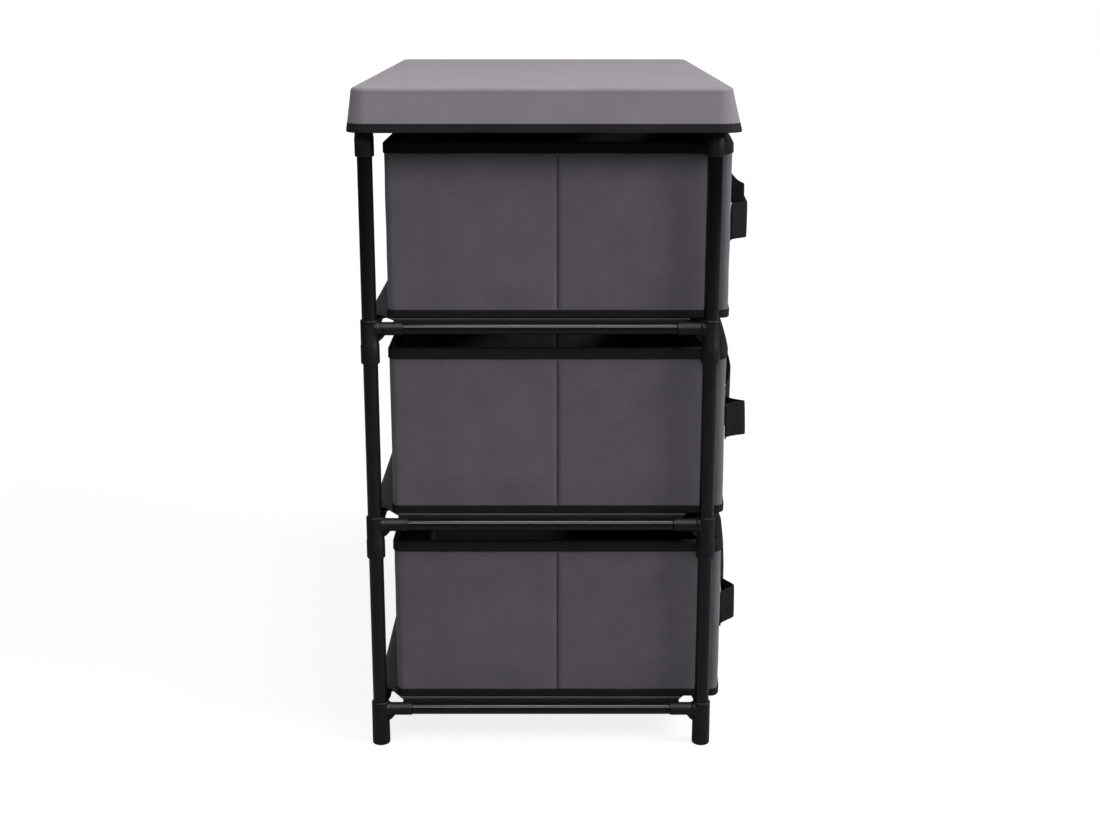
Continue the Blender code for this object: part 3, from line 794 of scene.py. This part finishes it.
# %% Seams in the plan
def distance_to_seams():
    """Distances from each plan point to the nearest corner and to the fold in its side.

    The front and the rear have no fold, so 1 m stands there, too far for the fold to leave a mark.
    """
    x, y = PLAN.T
    corner_xy = np.array([[sx * HALF_W, sy] for sx in (-1, 1) for sy in (FRONT_Y, REAR_Y)])
    to_corner = np.min(np.linalg.norm(PLAN[:, None] - corner_xy[None], axis=2), axis=1)
    on_side = np.abs(x) > HALF_W - 1e-5
    to_fold = np.where(on_side, np.abs(y - MID_Y), 1.0)
    return to_corner, to_fold


TO_CORNER, TO_FOLD = distance_to_seams()
print("plan points near a fold:", int((TO_FOLD < 0.007).sum()))
# Heights of the binding and of the bottom band, and the level where the binding ends
TOP_TAPE = 0.0088
BAND = 0.0065
TAPE_END = DRAWER_H - TOP_TAPE
# The cloth's relief, and the height over which it fades out at the tapes
PUFF, FOLD_DEPTH, UNEVEN, FADE = 0.0011, 0.0016, 0.00055, 0.030


def wall_relief(height, seed):
    """How far the outer skin stands off its plan at each height, as an array (heights, plan).

    Relief = free (puff tanh(d / 22 mm) + uneven ripples) - a bell 1.4 mm wide at the fold, where d
    is the distance to the nearest seam and free fades to 0 at the binding and the band.
    """
    z = height[:, None]
    free = smooth_step((z - BAND) / FADE) * smooth_step((TAPE_END - z) / FADE)
    seam = np.minimum(TO_CORNER - CORNER_R, TO_FOLD)[None]
    puff = PUFF * np.tanh(np.clip(seam, 0, None) / 0.022) * free
    fold = -FOLD_DEPTH * np.exp(-(TO_FOLD[None] / 0.0014) ** 2) * smooth_step((TAPE_END - z) / 0.004)
    uneven = UNEVEN * ripples(PLAN_LENGTH[None, :-1], z, (0.19, 0.11, 0.071, 0.043, 0.26), seed) * free
    return puff + fold + uneven


# %% Drawer skins
# The underside's edge radius, the inner floor's height, and the mean way from the middle to a wall
FOOT_EDGE, FLOOR_Z, REACH = 0.0022, 0.0012, 0.17


def drawer_skin(base_z, seed):
    """The fabric as one closed surface: underside, outer wall, edge, inner wall and floor.

    Each row is (scale about the middle, stand off the plan, height, wall), where wall is 1 outside,
    2 inside and 0 on the flat parts. The inside shows half the relief, pressed inwards.
    """
    r, top = FOOT_EDGE, DRAWER_H - TAPE
    rows = [(k, -r, 0.0, 0) for k in np.linspace(0, 1, 8)[:-1]]
    rows += [(1, -r + r * math.sin(a), r - r * math.cos(a), 0) for a in np.linspace(0, np.pi / 2, 6)]
    rows += [(1, 0.0, z, 1) for z in np.linspace(r, top, 48)[1:]]
    rows += [(1, -WALL, z, 2) for z in np.linspace(top, FLOOR_Z, 18)]
    rows += [(k, -WALL, FLOOR_Z, 0) for k in np.linspace(1, 0, 8)[1:]]
    scale, stand, height, wall = (np.array(column, float) for column in zip(*rows))
    outside, inside = wall[:, None] == 1, wall[:, None] == 2
    relief = wall_relief(height, seed) * outside - 0.5 * wall_relief(height, seed + 50) * inside
    centre = np.array([0.0, MID_Y])
    ring = off_plan(PLAN, PLAN_NORMAL, stand[:, None] + relief)
    grid = at_height(centre + scale[:, None, None] * (ring - centre), (base_z + height)[:, None])
    step = np.hypot(np.diff(scale) * REACH, np.hypot(np.diff(stand), np.diff(height)))
    # The round edge's upper rows count as level too; the bottom band hides them
    level = (wall == 0) & ((scale < 1) | (height > 0.001))
    return merged(grid_mesh(grid, np.concatenate([[0], np.cumsum(step)]), PLAN_LENGTH, close_v=True,
                            flip=True, level=level[:-1]))


def ring_piece(section, base_z, wobble, seed):
    """A closed section of (stand, height) points carried round the plan, gently wavy in height."""
    stand, height = (column[:, None] for column in section.T)
    wave = wobble * ripples(PLAN_LENGTH[None, :-1], stand, (0.05, 0.083, 0.031), seed)
    grid = at_height(off_plan(PLAN, PLAN_NORMAL, stand), base_z + height + wave)
    return grid_mesh(np.swapaxes(grid, 0, 1), PLAN_LENGTH, running_length(section, closed=True),
                     close_u=True, close_v=True)


# %% Binding sections
def binding_section():
    """Tape folded over the wall's edge: down the outside, over the top and down the inside.

    The outline climbs the outside, rounds both top corners, and comes back against the wall.
    """
    end, top, inside = TAPE_END, DRAWER_H, -WALL - TAPE
    outside = [(TAPE - 0.0003, end), (TAPE, end + 0.0003), (TAPE, top - 0.0014),
               (TAPE - 0.0004, top - 0.0005), (TAPE - 0.0013, top)]
    within = [(inside + TAPE - stand, height) for stand, height in outside[::-1]]
    against = [(-WALL, end), (-WALL, top - TAPE), (0.0, top - TAPE), (0.00002, end)]
    return np.array(outside + within + against)


def band_section():
    """Tape sewn round the bottom edge: a lip under it, then up the outside to the band's height."""
    return np.array([(-0.0012, -0.0001), (TAPE - 0.0005, 0.0), (TAPE, 0.0006), (TAPE, BAND - 0.0003),
                     (TAPE - 0.0003, BAND), (0.00002, BAND), (0.0, 0.0020), (-0.0012, 0.0004)])


# %% Stitches down a fold
def fold_stitches(base_z, pitch=0.0030):
    """Stitches down the fold in the middle of each side, along Z and out to the side."""
    z = np.arange(BAND + 0.003, TAPE_END - 0.001, pitch) + base_z
    return stitch_rows([stitches_up(side * (HALF_W - 0.0010), MID_Y, z, [side, 0, 0]) for side in (-1, 1)])


# %% Build the drawers
def build_drawer(drawer, index):
    """Skin, binding, band and stitches of one drawer; the index varies the unevenness."""
    base_z = float(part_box(drawer + "_fabric_box")[0].z)
    skin = add_piece(drawer + "_skin", drawer_skin(base_z, 10 + index), DRAWER_FABRIC, drawer,
                     [drawer + "_fabric_box"], angle=50)
    for part, section, wobble, seed in (("_binding", binding_section(), 0.0002, index),
                                        ("_bottom_band", band_section(), 0.00015, 20 + index)):
        tape = ring_piece(section, base_z, wobble, seed)
        add_piece(drawer + part, tape, BINDING_TAPE, drawer)
    tape_seams = [stitches_round(PLAN, PLAN_NORMAL, PLAN_LENGTH, base_z + height, TAPE, 0.0030)
                  for height in (TAPE_END + 0.0014, BAND - 0.0013)]
    for part, seam, radius in (("_tape_stitches", stitch_rows(tape_seams), 0.00026),
                               ("_fold_stitches", fold_stitches(base_z), 0.0003)):
        stitches = stitch_mesh(*seam, radius=radius)
        add_piece(drawer + part, stitches, DARK_THREAD, drawer)
    return len(skin.data.polygons)


for drawer_name, drawer_index in DRAWERS.items():
    print(drawer_name, "skin faces:", build_drawer(drawer_name, drawer_index))


# %% [markdown]
# ## Strap handles
# A slack length of webbing runs across each front. Its ends are sewn down, it lifts off near both
# sides and swells towards the middle, where fingers pull it. Each strap hangs a little differently.
# Cloth simulation could drape it, but the photograph shows how far each one stands out along its
# length, so a path through such places comes closer.

# %% Strap paths
FRAME_Y = middle("foot_rail_left")[1]
# The webbing's height and thickness, its middle's height over the drawer's underside, how far its
# ends lie from the middle, and the gap behind a sewn end
STRAP_H = 0.0290
STRAP_T = 0.0015
STRAP_Z = 0.0760
STRAP_END = HALF_W - CORNER_R + 0.0004
STRAP_GAP = 0.0001
# From the left end: where along X, and how far the strap's face lies in front of the frame's
# middle, in mm
STRAP_SHAPES = {
    "top_drawer": ((-189, 157.0), (-178, 167.0), (-135, 169.0), (-94, 174.0), (-44, 180.5), (-14, 178.5),
                   (20, 179.0), (60, 179.5), (105, 172.0), (150, 167.5), (180, 165.5), (189, 157.5)),
    "middle_drawer": ((-189, 157.0), (-177, 171.5), (-170, 169.5), (-158, 156.8), (-145, 157.2),
                      (-97, 166.0), (-55, 171.5), (-20, 173.5), (30, 175.0), (70, 172.5), (120, 167.0),
                      (160, 165.0), (182, 163.0), (190, 157.5)),
    "bottom_drawer": ((-189, 156.5), (-177, 167.0), (-170, 165.0), (-156, 158.0), (-99, 164.5),
                      (-50, 170.5), (0, 173.5), (45, 172.0), (90, 167.5), (140, 164.0), (178, 165.0),
                      (190, 157.0)),
}


def strap_path(drawer, count=240):
    """The strap's face in plan: the given places joined, then softened by a narrow bell curve.

    The softening is left out on the sewn ends, which lie against the front, and nowhere does the
    path go behind the front: y = the lesser of the path and bowed(x) - thickness - gap.
    """
    x = np.linspace(-STRAP_END, STRAP_END, count)
    places = np.array(STRAP_SHAPES[drawer]) * [MM, -MM] + [0, FRAME_Y]
    tab = np.array([-STRAP_END, -STRAP_END + 0.0055])
    sewn = bowed(tab) - STRAP_T - STRAP_GAP
    y = np.interp(x, np.concatenate([tab, places[:, 0], -tab[::-1]]),
                  np.concatenate([sewn, places[:, 1], sewn[::-1]]))
    reach = 12
    kernel = np.exp(-(np.arange(-reach, reach + 1) * (x[1] - x[0]) / 0.0036) ** 2)
    soft = np.convolve(np.pad(y, reach, mode="edge"), kernel / kernel.sum(), mode="valid")
    loose = smooth_step((STRAP_END - np.abs(x) - 0.0035) / 0.005)
    y = loose * soft + (1 - loose) * y
    return x, np.minimum(y, bowed(x) - STRAP_T - STRAP_GAP)


def strap_mesh(drawer, base_z, index):
    """Webbing: a flat section with round edges carried along the path, and the path's length.

    The section is a superellipse, h sin(a)^0.55 high and t cos(a)^0.30 thick. The web leans and
    dips a little along its length, both as a sine of x, so its edges don't run quite level.
    """
    x, y = strap_path(drawer)
    slope = np.gradient(y, x)
    normal = np.stack([slope, -np.ones_like(slope)], axis=1) / np.hypot(1, slope)[:, None]
    free = smooth_step((STRAP_END - np.abs(x) - 0.006) / 0.03)
    lean = free * (0.045 * np.sin(x / 0.06 + index * 1.7) - 0.02)
    dip = free * (0.0012 * np.sin(x / 0.045 + index * 2.3) - 0.0020)
    angle = np.linspace(0, 2 * np.pi, 28, endpoint=False)
    across = STRAP_H / 2 * np.sign(np.sin(angle)) * np.abs(np.sin(angle)) ** 0.55
    thick = STRAP_T / 2 * np.sign(np.cos(angle)) * np.abs(np.cos(angle)) ** 0.30
    depth = thick[None] - STRAP_T / 2 + lean[:, None] * across[None]
    xy = np.stack([x, y], axis=1)[:, None, :] + normal[:, None, :] * depth[..., None]
    z = base_z + STRAP_Z + dip[:, None] + across[None]
    grid = np.concatenate([xy, z[..., None]], axis=2)
    run = running_length(np.stack([x, y], axis=1))
    v = np.linspace(0, 2 * (STRAP_H + STRAP_T), len(angle) + 1)
    return cap_ends(grid_mesh(grid, run, v, close_v=True), len(angle)), run[-1]


def tab_stitches(drawer, base_z):
    """Two rows of stitches through each sewn end, along Z and out to the front."""
    x, y = strap_path(drawer)
    z = np.arange(-STRAP_H / 2 + 0.003, STRAP_H / 2 - 0.002, 0.0030) + base_z + STRAP_Z
    rows = []
    for side in (-1, 1):
        for inset in (0.0015, 0.0040):
            at = side * (STRAP_END - inset)
            rows.append(stitches_up(at, np.interp(at, x, y) - 0.0001, z, [0, -1, 0]))
    return stitch_rows(rows)


def build_strap(drawer, index):
    """One strap with its stitches; gives its length."""
    base_z = float(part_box(drawer + "_fabric_box")[0].z)
    mesh, length = strap_mesh(drawer, base_z, index)
    strap = add_piece(drawer + "_strap", mesh, STRAP_WEBBING, drawer,
                      [drawer + "_strap_handle"], angle=60)
    stitches = stitch_mesh(*tab_stitches(drawer, base_z))
    threads = add_piece(drawer + "_strap_stitches", stitches, DARK_THREAD, drawer)
    return length


for drawer_name, drawer_index in DRAWERS.items():
    print(drawer_name, "strap length in mm:", round(build_strap(drawer_name, drawer_index) / MM))


# %% [markdown]
# ## Shelves
# Each shelf is a fabric panel stretched between the front and rear rails, with a sewn tunnel round
# each. Its corners are cut off to clear the mouldings, and it sags a hair under its own weight. A
# flat plane couldn't go round the rails, so a path that does is carried across the width. Tape on
# each side edge turns down beside the side rail, so no daylight shows between the rail and the
# drawer above it.

# %% Shelf section
# Half the way between the front and rear rails, the cloth's middle over the rails' axes, its
# thickness, and how far its side edges lie from the middle
RAIL_HALF = 0.136
SHELF_MID = 0.0056
SHELF_T = 0.0012
SHELF_SIDE = 0.2075
# How far the tunnel's sewn flap reaches back under the panel, and how far the panel sags
FLAP, SAG = 0.020, 0.0009
# The cut corners: where they start and end along the depth, and how far they come in
CUT_START, CUT_END, CUT_IN = 0.1180, 0.1306, 0.0200


def shelf_path():
    """Half the section from the middle to the end of the tunnel's flap, as (depth, height).

    It runs level to the rail, round it by 288 degrees, and back under itself.
    """
    flat = np.linspace(0, RAIL_HALF, 46)
    turn = np.radians(np.linspace(88, -200, 30))
    loop = np.stack([RAIL_HALF + SHELF_MID * np.cos(turn), SHELF_MID * np.sin(turn)], axis=1)
    back = np.linspace(loop[-1, 0] - 0.002, RAIL_HALF - FLAP, 8)
    flap = np.stack([back, np.linspace(loop[-1, 1] + 0.0009, SHELF_MID - SHELF_T - 0.0001, 8)], axis=1)
    return np.concatenate([np.stack([flat, np.full_like(flat, SHELF_MID)], axis=1), loop, flap])


def shelf_mesh(rail_z, seed):
    """The path mirrored to both rails and carried across; the width narrows at the cut corners.

    Sag = (1 - (y / rail half)^2) (1 - across^4) x the depth of sag and ripples; the flaps stay level.
    """
    half = shelf_path()
    path = np.concatenate([half[::-1] * [-1, 1], half[1:]])
    cut = np.clip((np.abs(path[:, 0]) - CUT_START) / (CUT_END - CUT_START), 0, 1)
    flap = np.abs(path[:, 1] - SHELF_MID) > 1e-6
    side = np.where(flap, SHELF_SIDE - CUT_IN, SHELF_SIDE - CUT_IN * cut)
    across = np.linspace(-1, 1, 70)
    x = side[:, None] * across[None]
    y = np.repeat(path[:, :1], len(across), axis=1)
    slack = (1 - (y / RAIL_HALF) ** 2) * (1 - across[None] ** 4)
    uneven = 0.0003 * (ripples(x, y, (0.12, 0.07, 0.2), seed) - 1)
    z = path[:, 1:] + np.where(flap[:, None], 0, np.clip(slack, 0, None) * (uneven - SAG))
    grid = np.stack([x, y + FRAME_Y, rail_z + z], axis=2)
    run = running_length(path)
    return grid_mesh(grid, run, across * SHELF_SIDE), run[-1]


# The side tape's bend, half its thickness, and the heights that its straight part runs through
TAPE_BEND, TAPE_HALF, TAPE_DROPS = 0.0009, 0.00055, (-0.0030, -0.0042)


def side_tape(rail_z, side):
    """Tape that goes on from a side edge: round a quarter circle, then straight down.

    Its middle line is offset by half its thickness to both sides and carried along the depth.
    """
    bend = np.linspace(np.pi / 2, 0, 7)
    skins = []
    for r in (TAPE_BEND + TAPE_HALF, TAPE_BEND - TAPE_HALF):
        curve = np.stack([r * np.cos(bend), r * np.sin(bend) - TAPE_BEND], axis=1)
        skins.append(np.concatenate([curve, [(r, drop) for drop in TAPE_DROPS]]))
    section = np.concatenate([skins[1], skins[0][::-1]])
    if side < 0:
        section = section[::-1]
    along = np.linspace(-CUT_START + 0.0005, CUT_START - 0.0005, 80)
    wave = 0.00025 * ripples(along[:, None], 0 * section[None, :, 0], (0.06, 0.11, 0.035), 40)
    grid = np.empty(wave.shape + (3,))
    grid[..., 0] = side * (SHELF_SIDE + 0.00005 + section[None, :, 0])
    grid[..., 1] = along[:, None] + FRAME_Y
    grid[..., 2] = rail_z + SHELF_MID + section[None, :, 1] * (1 + 200 * wave)
    mesh = grid_mesh(grid, along, running_length(section, closed=True), close_v=True)
    return cap_ends(mesh, len(section))


def build_shelf(shelf, level, seed):
    """One shelf on the rails of its level, with its side tapes; gives the cut length."""
    rail_z = middle(level + "_rail_front")[2]
    mesh, length = shelf_mesh(rail_z, seed)
    panel = add_piece(shelf + "_panel", mesh, SHELF_FABRIC, "frame", [shelf], angle=60)
    wall = panel.modifiers.new("fabric", "SOLIDIFY")
    wall.thickness = SHELF_T * 0.9
    wall.offset = 0
    for word, side in (("left", -1), ("right", 1)):
        add_piece(f"{shelf}_tape_{word}", side_tape(rail_z, side), BINDING_TAPE, "frame")
    return length


for shelf_name, level_name, shelf_seed in (("bottom_shelf", "foot", 31), ("middle_shelf", "lower", 32),
                                           ("top_shelf", "upper", 33)):
    print(shelf_name, "cut length in mm:", round(build_shelf(shelf_name, level_name, shelf_seed) / MM))


# %% [markdown]
# ## Top cover
# The cover is a sewn fabric cap over the board. Its skirt opens like a lampshade from the top's
# edge to a bound hem, and most at the front. A cloth simulation would let it hang limp, but this
# fabric is stiff and its line shows in the photograph, so a formula gives it. The plan is a rounded
# rectangle, and the section runs from the middle of the top, over the edge and down the skirt.

# %% Cover plan
COVER_LOW, COVER_HIGH = (np.array(c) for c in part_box("top_cover"))
# How far the hem stands out past the top's edge, and the corners' radius in plan
FLARE_SIDE, FLARE_REAR, FLARE_FRONT = 0.0050, 0.0045, 0.0080
COVER_R = 0.0112
COVER_X = COVER_HIGH[0] - FLARE_SIDE
COVER_REAR = COVER_HIGH[1] - FLARE_REAR
COVER_FRONT = COVER_LOW[1] + FLARE_FRONT
# The skirt's whole drop, where it starts to open, and the radius of the top's edge
SKIRT = COVER_HIGH[2] - COVER_LOW[2]
SKIRT_START = 0.0030
COVER_EDGE = 0.0026
# How far the skirt waves in and out at its hem
SKIRT_WAVE = 0.0009


def cover_plan(spacing=0.0035):
    """Points round the top's edge with outward normals and lengths, anticlockwise.

    A corner's point is its centre + r (cos a, sin a), and the edges between are straight.
    """
    corners = ((-COVER_X, COVER_FRONT, 180), (COVER_X, COVER_FRONT, 270), (COVER_X, COVER_REAR, 0),
               (-COVER_X, COVER_REAR, 90))
    parts = []
    for x, y, start in corners:
        angle = np.radians(start + np.linspace(0, 90, 12))
        centre = np.array([x - math.copysign(COVER_R, x), y - math.copysign(COVER_R, y)])
        normal = np.stack([np.cos(angle), np.sin(angle)], axis=1)
        parts.append((centre + COVER_R * normal, normal))
    points, normals = [], []
    for k, (quarter, normal) in enumerate(parts):
        following = parts[(k + 1) % 4][0][0]
        length = np.linalg.norm(following - quarter[-1])
        t = np.linspace(0, 1, int(length / spacing))[1:-1, None]
        points += [quarter, quarter[-1] + t * (following - quarter[-1])]
        normals += [normal, np.repeat(normal[-1:], len(t), axis=0)]
    points, normals = np.concatenate(points), np.concatenate(normals)
    return points, normals, running_length(points, closed=True)


COVER_PLAN, COVER_NORMAL, COVER_LENGTH = cover_plan()
print("cover perimeter in mm:", round(COVER_LENGTH[-1] / MM))


# %% Cover section
def skirt_stand(drop):
    """How far the skirt stands out at each drop below the top, as an array (drops, plan).

    It opens nearly straight from just under the top's edge to the hem:
    stand = 0.96 flare t^1.05 + wave t^2, where t runs from 0 at SKIRT_START to 1 at the hem. The
    flare goes from one side's to the next by the squares of the normal's parts.
    """
    nx, ny = COVER_NORMAL.T
    flare = (np.abs(nx) ** 2 * FLARE_SIDE + np.clip(ny, 0, None) ** 2 * FLARE_REAR
             + np.clip(-ny, 0, None) ** 2 * FLARE_FRONT)
    drop = drop[:, None]
    t = np.clip((drop - SKIRT_START) / (SKIRT - SKIRT_START), 0, 1)
    wave = SKIRT_WAVE * ripples(COVER_LENGTH[None, :-1], 0 * drop, (0.21, 0.13, 0.082), 5)
    return 0.96 * flare * t ** 1.05 + wave * t ** 2


def cover_mesh():
    """Rows that grow from the middle of the top, then a quarter round, then the skirt.

    Each row is (scale about the middle, stand off the plan, drop below the top). The top lies
    0.4 mm lower than its edge and ripples gently, most in the middle.
    """
    edge, reach = COVER_EDGE, 0.19
    rows = [(k, -edge, 0.0) for k in np.linspace(0, 1, 46)[:-1]]
    bend = np.linspace(0, np.pi / 2, 8)
    rows += [(1, -edge + edge * math.sin(a), edge - edge * math.cos(a)) for a in bend]
    rows += [(1, 0.0, drop) for drop in np.linspace(edge, SKIRT - 0.0006, 26)[1:]]
    scale, stand, drop = (np.array(column, float) for column in zip(*rows))
    centre = np.array([0.0, (COVER_FRONT + COVER_REAR) / 2])
    ring = off_plan(COVER_PLAN, COVER_NORMAL, stand[:, None] + skirt_stand(drop))
    flat = centre + scale[:, None, None] * (ring - centre)
    rise = 0.0005 * ripples(flat[..., 0], flat[..., 1], (0.31, 0.17, 0.12, 0.23), 9)
    rise = rise * smooth_step(1 - scale)[:, None]
    grid = at_height(flat, COVER_HIGH[2] - drop[:, None] + rise - 0.0004 * (scale[:, None] < 1))
    step = np.hypot(np.diff(scale) * reach, np.hypot(np.diff(stand), np.diff(drop)))
    return merged(grid_mesh(grid, np.concatenate([[0], np.cumsum(step)]), COVER_LENGTH, close_v=True,
                            flip=True, level=scale[:-1] < 1))


# %% Cover hem and stitches
# The tape's height, and how far its outer and inner faces lie from the cloth's outside
HEM, HEM_OUT, HEM_BACK = 0.0075, 0.0009, -0.0018


def hem_mesh():
    """Tape folded round the skirt's lower edge: a closed section of (stand, drop) points.

    The section follows the skirt: stand + skirt_stand(drop).
    """
    top, low, out, back = SKIRT - HEM, SKIRT, HEM_OUT, HEM_BACK
    section = np.array([(0.0, top), (out, top + 0.0004), (out, low - 0.0008), (out - 0.0005, low - 0.0001),
                        (back + 0.0005, low - 0.0001), (back, low - 0.0008), (back, top + 0.0004),
                        (back + 0.0007, top), (-0.0009, low - 0.0010), (-0.0001, low - 0.0010)])
    stand, drop = section.T
    ring = off_plan(COVER_PLAN, COVER_NORMAL, stand[:, None] + skirt_stand(drop))
    grid = at_height(ring, (COVER_HIGH[2] - drop)[:, None])
    return grid_mesh(np.swapaxes(grid, 0, 1), COVER_LENGTH, running_length(section, closed=True),
                     close_u=True, close_v=True, flip=True)


def hem_stitches(drop):
    """Stitch places round the hem's outer face at one drop below the top."""
    ring = off_plan(COVER_PLAN, COVER_NORMAL, skirt_stand(np.array([drop])) + HEM_OUT)[0]
    return stitches_round(ring, COVER_NORMAL, COVER_LENGTH, COVER_HIGH[2] - drop, 0.0, 0.0032)


def build_cover():
    """Cloth, hem and stitches of the cover; gives the cloth's number of faces."""
    cloth = add_piece("top_cover_cloth", cover_mesh(), COVER_FABRIC, "frame",
                      ["top_cover"], angle=60)
    wall = cloth.modifiers.new("fabric", "SOLIDIFY")
    wall.thickness = 0.0008
    wall.offset = -1
    hem = add_piece("top_cover_hem", hem_mesh(), BINDING_TAPE, "frame")
    seam = stitch_rows([hem_stitches(SKIRT - 0.0062), hem_stitches(SKIRT - 0.0032)])
    stitches = stitch_mesh(*seam, length=0.0024, radius=0.0003)
    threads = add_piece("top_cover_stitches", stitches, HEM_THREAD, "frame")
    return len(cloth.data.polygons)


print("cover faces:", build_cover())


# %% [markdown]
# ## Studio
# The photograph was taken in a white room with soft light from above. A white box round the cabinet
# would do, but its walls would brighten every side alike. So there is a pale floor, a broad lamp
# overhead, one by the camera and one at the front, and a background that is white to the camera
# only, which adds no light to the cabinet.

# %% Floor and world
def build_floor():
    """A pale floor that keeps the cabinet's shadow near it and fades to white further off.

    For the camera alone it is mixed with a white glow: 80% from 0.5 m inwards, all from 2.4 m out.
    """
    size = 12.0
    corners = [(-size, -size, 0), (size, -size, 0), (size, size, 0), (-size, size, 0)]
    mesh = bpy.data.meshes.new("floor")
    mesh.from_pydata(corners, [], [(0, 1, 2, 3)])
    floor = put("floor", mesh)
    material, tree, shader = new_material("floor_paper", {"Roughness": 1.0, "Specular IOR Level": 0.0})
    rays = add_node(tree, "LightPath")
    paint(tree, shader, (0.25, 0.25, 0.25), (0.80, 0.80, 0.80), rays.outputs["Is Camera Ray"])
    glow = add_node(tree, "Emission", [("Color", (1, 1, 1, 1)), ("Strength", 1.06)])
    blend = add_node(tree, "MixShader")
    place = add_node(tree, "TexCoord").outputs["Object"]
    away = add_node(tree, "VectorMath", [(0, place)], operation="LENGTH").outputs["Value"]
    fade = spread(tree, away, 0.5, 2.4, 0.80, 1.0)
    tree.links.new(maths(tree, "MULTIPLY", rays.outputs["Is Camera Ray"], fade), blend.inputs[0])
    tree.links.new(shader.outputs[0], blend.inputs[1])
    tree.links.new(glow.outputs[0], blend.inputs[2])
    tree.links.new(blend.outputs[0], tree.nodes["Material Output"].inputs["Surface"])
    mesh.materials.append(material)


def build_world():
    """White where the camera looks past the floor, and an even grey light on the cabinet."""
    world = bpy.data.worlds.new("studio")
    world.use_nodes = True
    tree = world.node_tree
    tree.nodes.clear()
    rays = add_node(tree, "LightPath")
    seen = maths(tree, "MAXIMUM", rays.outputs["Is Camera Ray"], rays.outputs["Is Transmission Ray"])
    light = add_node(tree, "Background", [("Color", (1, 1, 1, 1)), ("Strength", 0.12)])
    white = add_node(tree, "Background", [("Color", (1, 1, 1, 1)), ("Strength", 1.0)])
    blend = add_node(tree, "MixShader", [(0, seen)])
    tree.links.new(light.outputs[0], blend.inputs[1])
    tree.links.new(white.outputs[0], blend.inputs[2])
    output = tree.nodes.new("ShaderNodeOutputWorld")
    tree.links.new(blend.outputs[0], output.inputs["Surface"])
    bpy.context.scene.world = world


build_floor()
build_world()


# %% Lamps
def add_lamp(name, place, target, size, power):
    """A square soft lamp that faces a point."""
    light = bpy.data.lights.new(name, "AREA")
    light.shape = "RECTANGLE"
    light.size, light.size_y = size
    light.energy = power
    lamp = put(name, light)
    lamp.location = place
    lamp.rotation_euler = (Vector(target) - Vector(place)).to_track_quat("-Z", "Y").to_euler()


add_lamp("overhead", (-0.35, -0.1, 2.3), (0, 0, 0.4), (0.8, 0.7), 27)
add_lamp("camera_side", (-1.9, 0.4, 2.3), (0, 0, 0.25), (1.7, 1.0), 41)
add_lamp("front_side", (-0.7, -2.3, 1.8), (0, 0, 0.3), (1.5, 1.0), 95)
print("lamps:", len(bpy.data.lights))


# %% [markdown]
# ## Camera
# The photograph looks square at the cabinet's left side from a little above its top. A shift lens
# could keep the uprights upright, but a large shift would push the cabinet out of other views. So
# the camera stands where the photograph's did, tilts down, and keeps a small shift.

# %% Camera
CAMERA_PLACE = (-1.4224, FRAME_Y - 0.0087, 0.6285)
CAMERA_PITCH = 14.27
CAMERA_LENS = 50.79
CAMERA_SHIFT = (-0.0011, -0.032)


def build_camera():
    """The camera at its place, looking along +X and tilted down by its pitch."""
    camera = bpy.data.cameras.new("camera")
    camera.lens = CAMERA_LENS
    camera.sensor_width = 36
    camera.shift_x, camera.shift_y = CAMERA_SHIFT
    camera.clip_start, camera.clip_end = 0.05, 60
    holder = put("camera", camera)
    holder.location = CAMERA_PLACE
    holder.rotation_euler = (math.radians(90 - CAMERA_PITCH), 0, math.radians(-90))
    bpy.context.scene.camera = holder


build_camera()
bpy.context.scene.view_settings.view_transform = "Standard"
print("camera lens in mm and tilt in degrees:", CAMERA_LENS, CAMERA_PITCH)
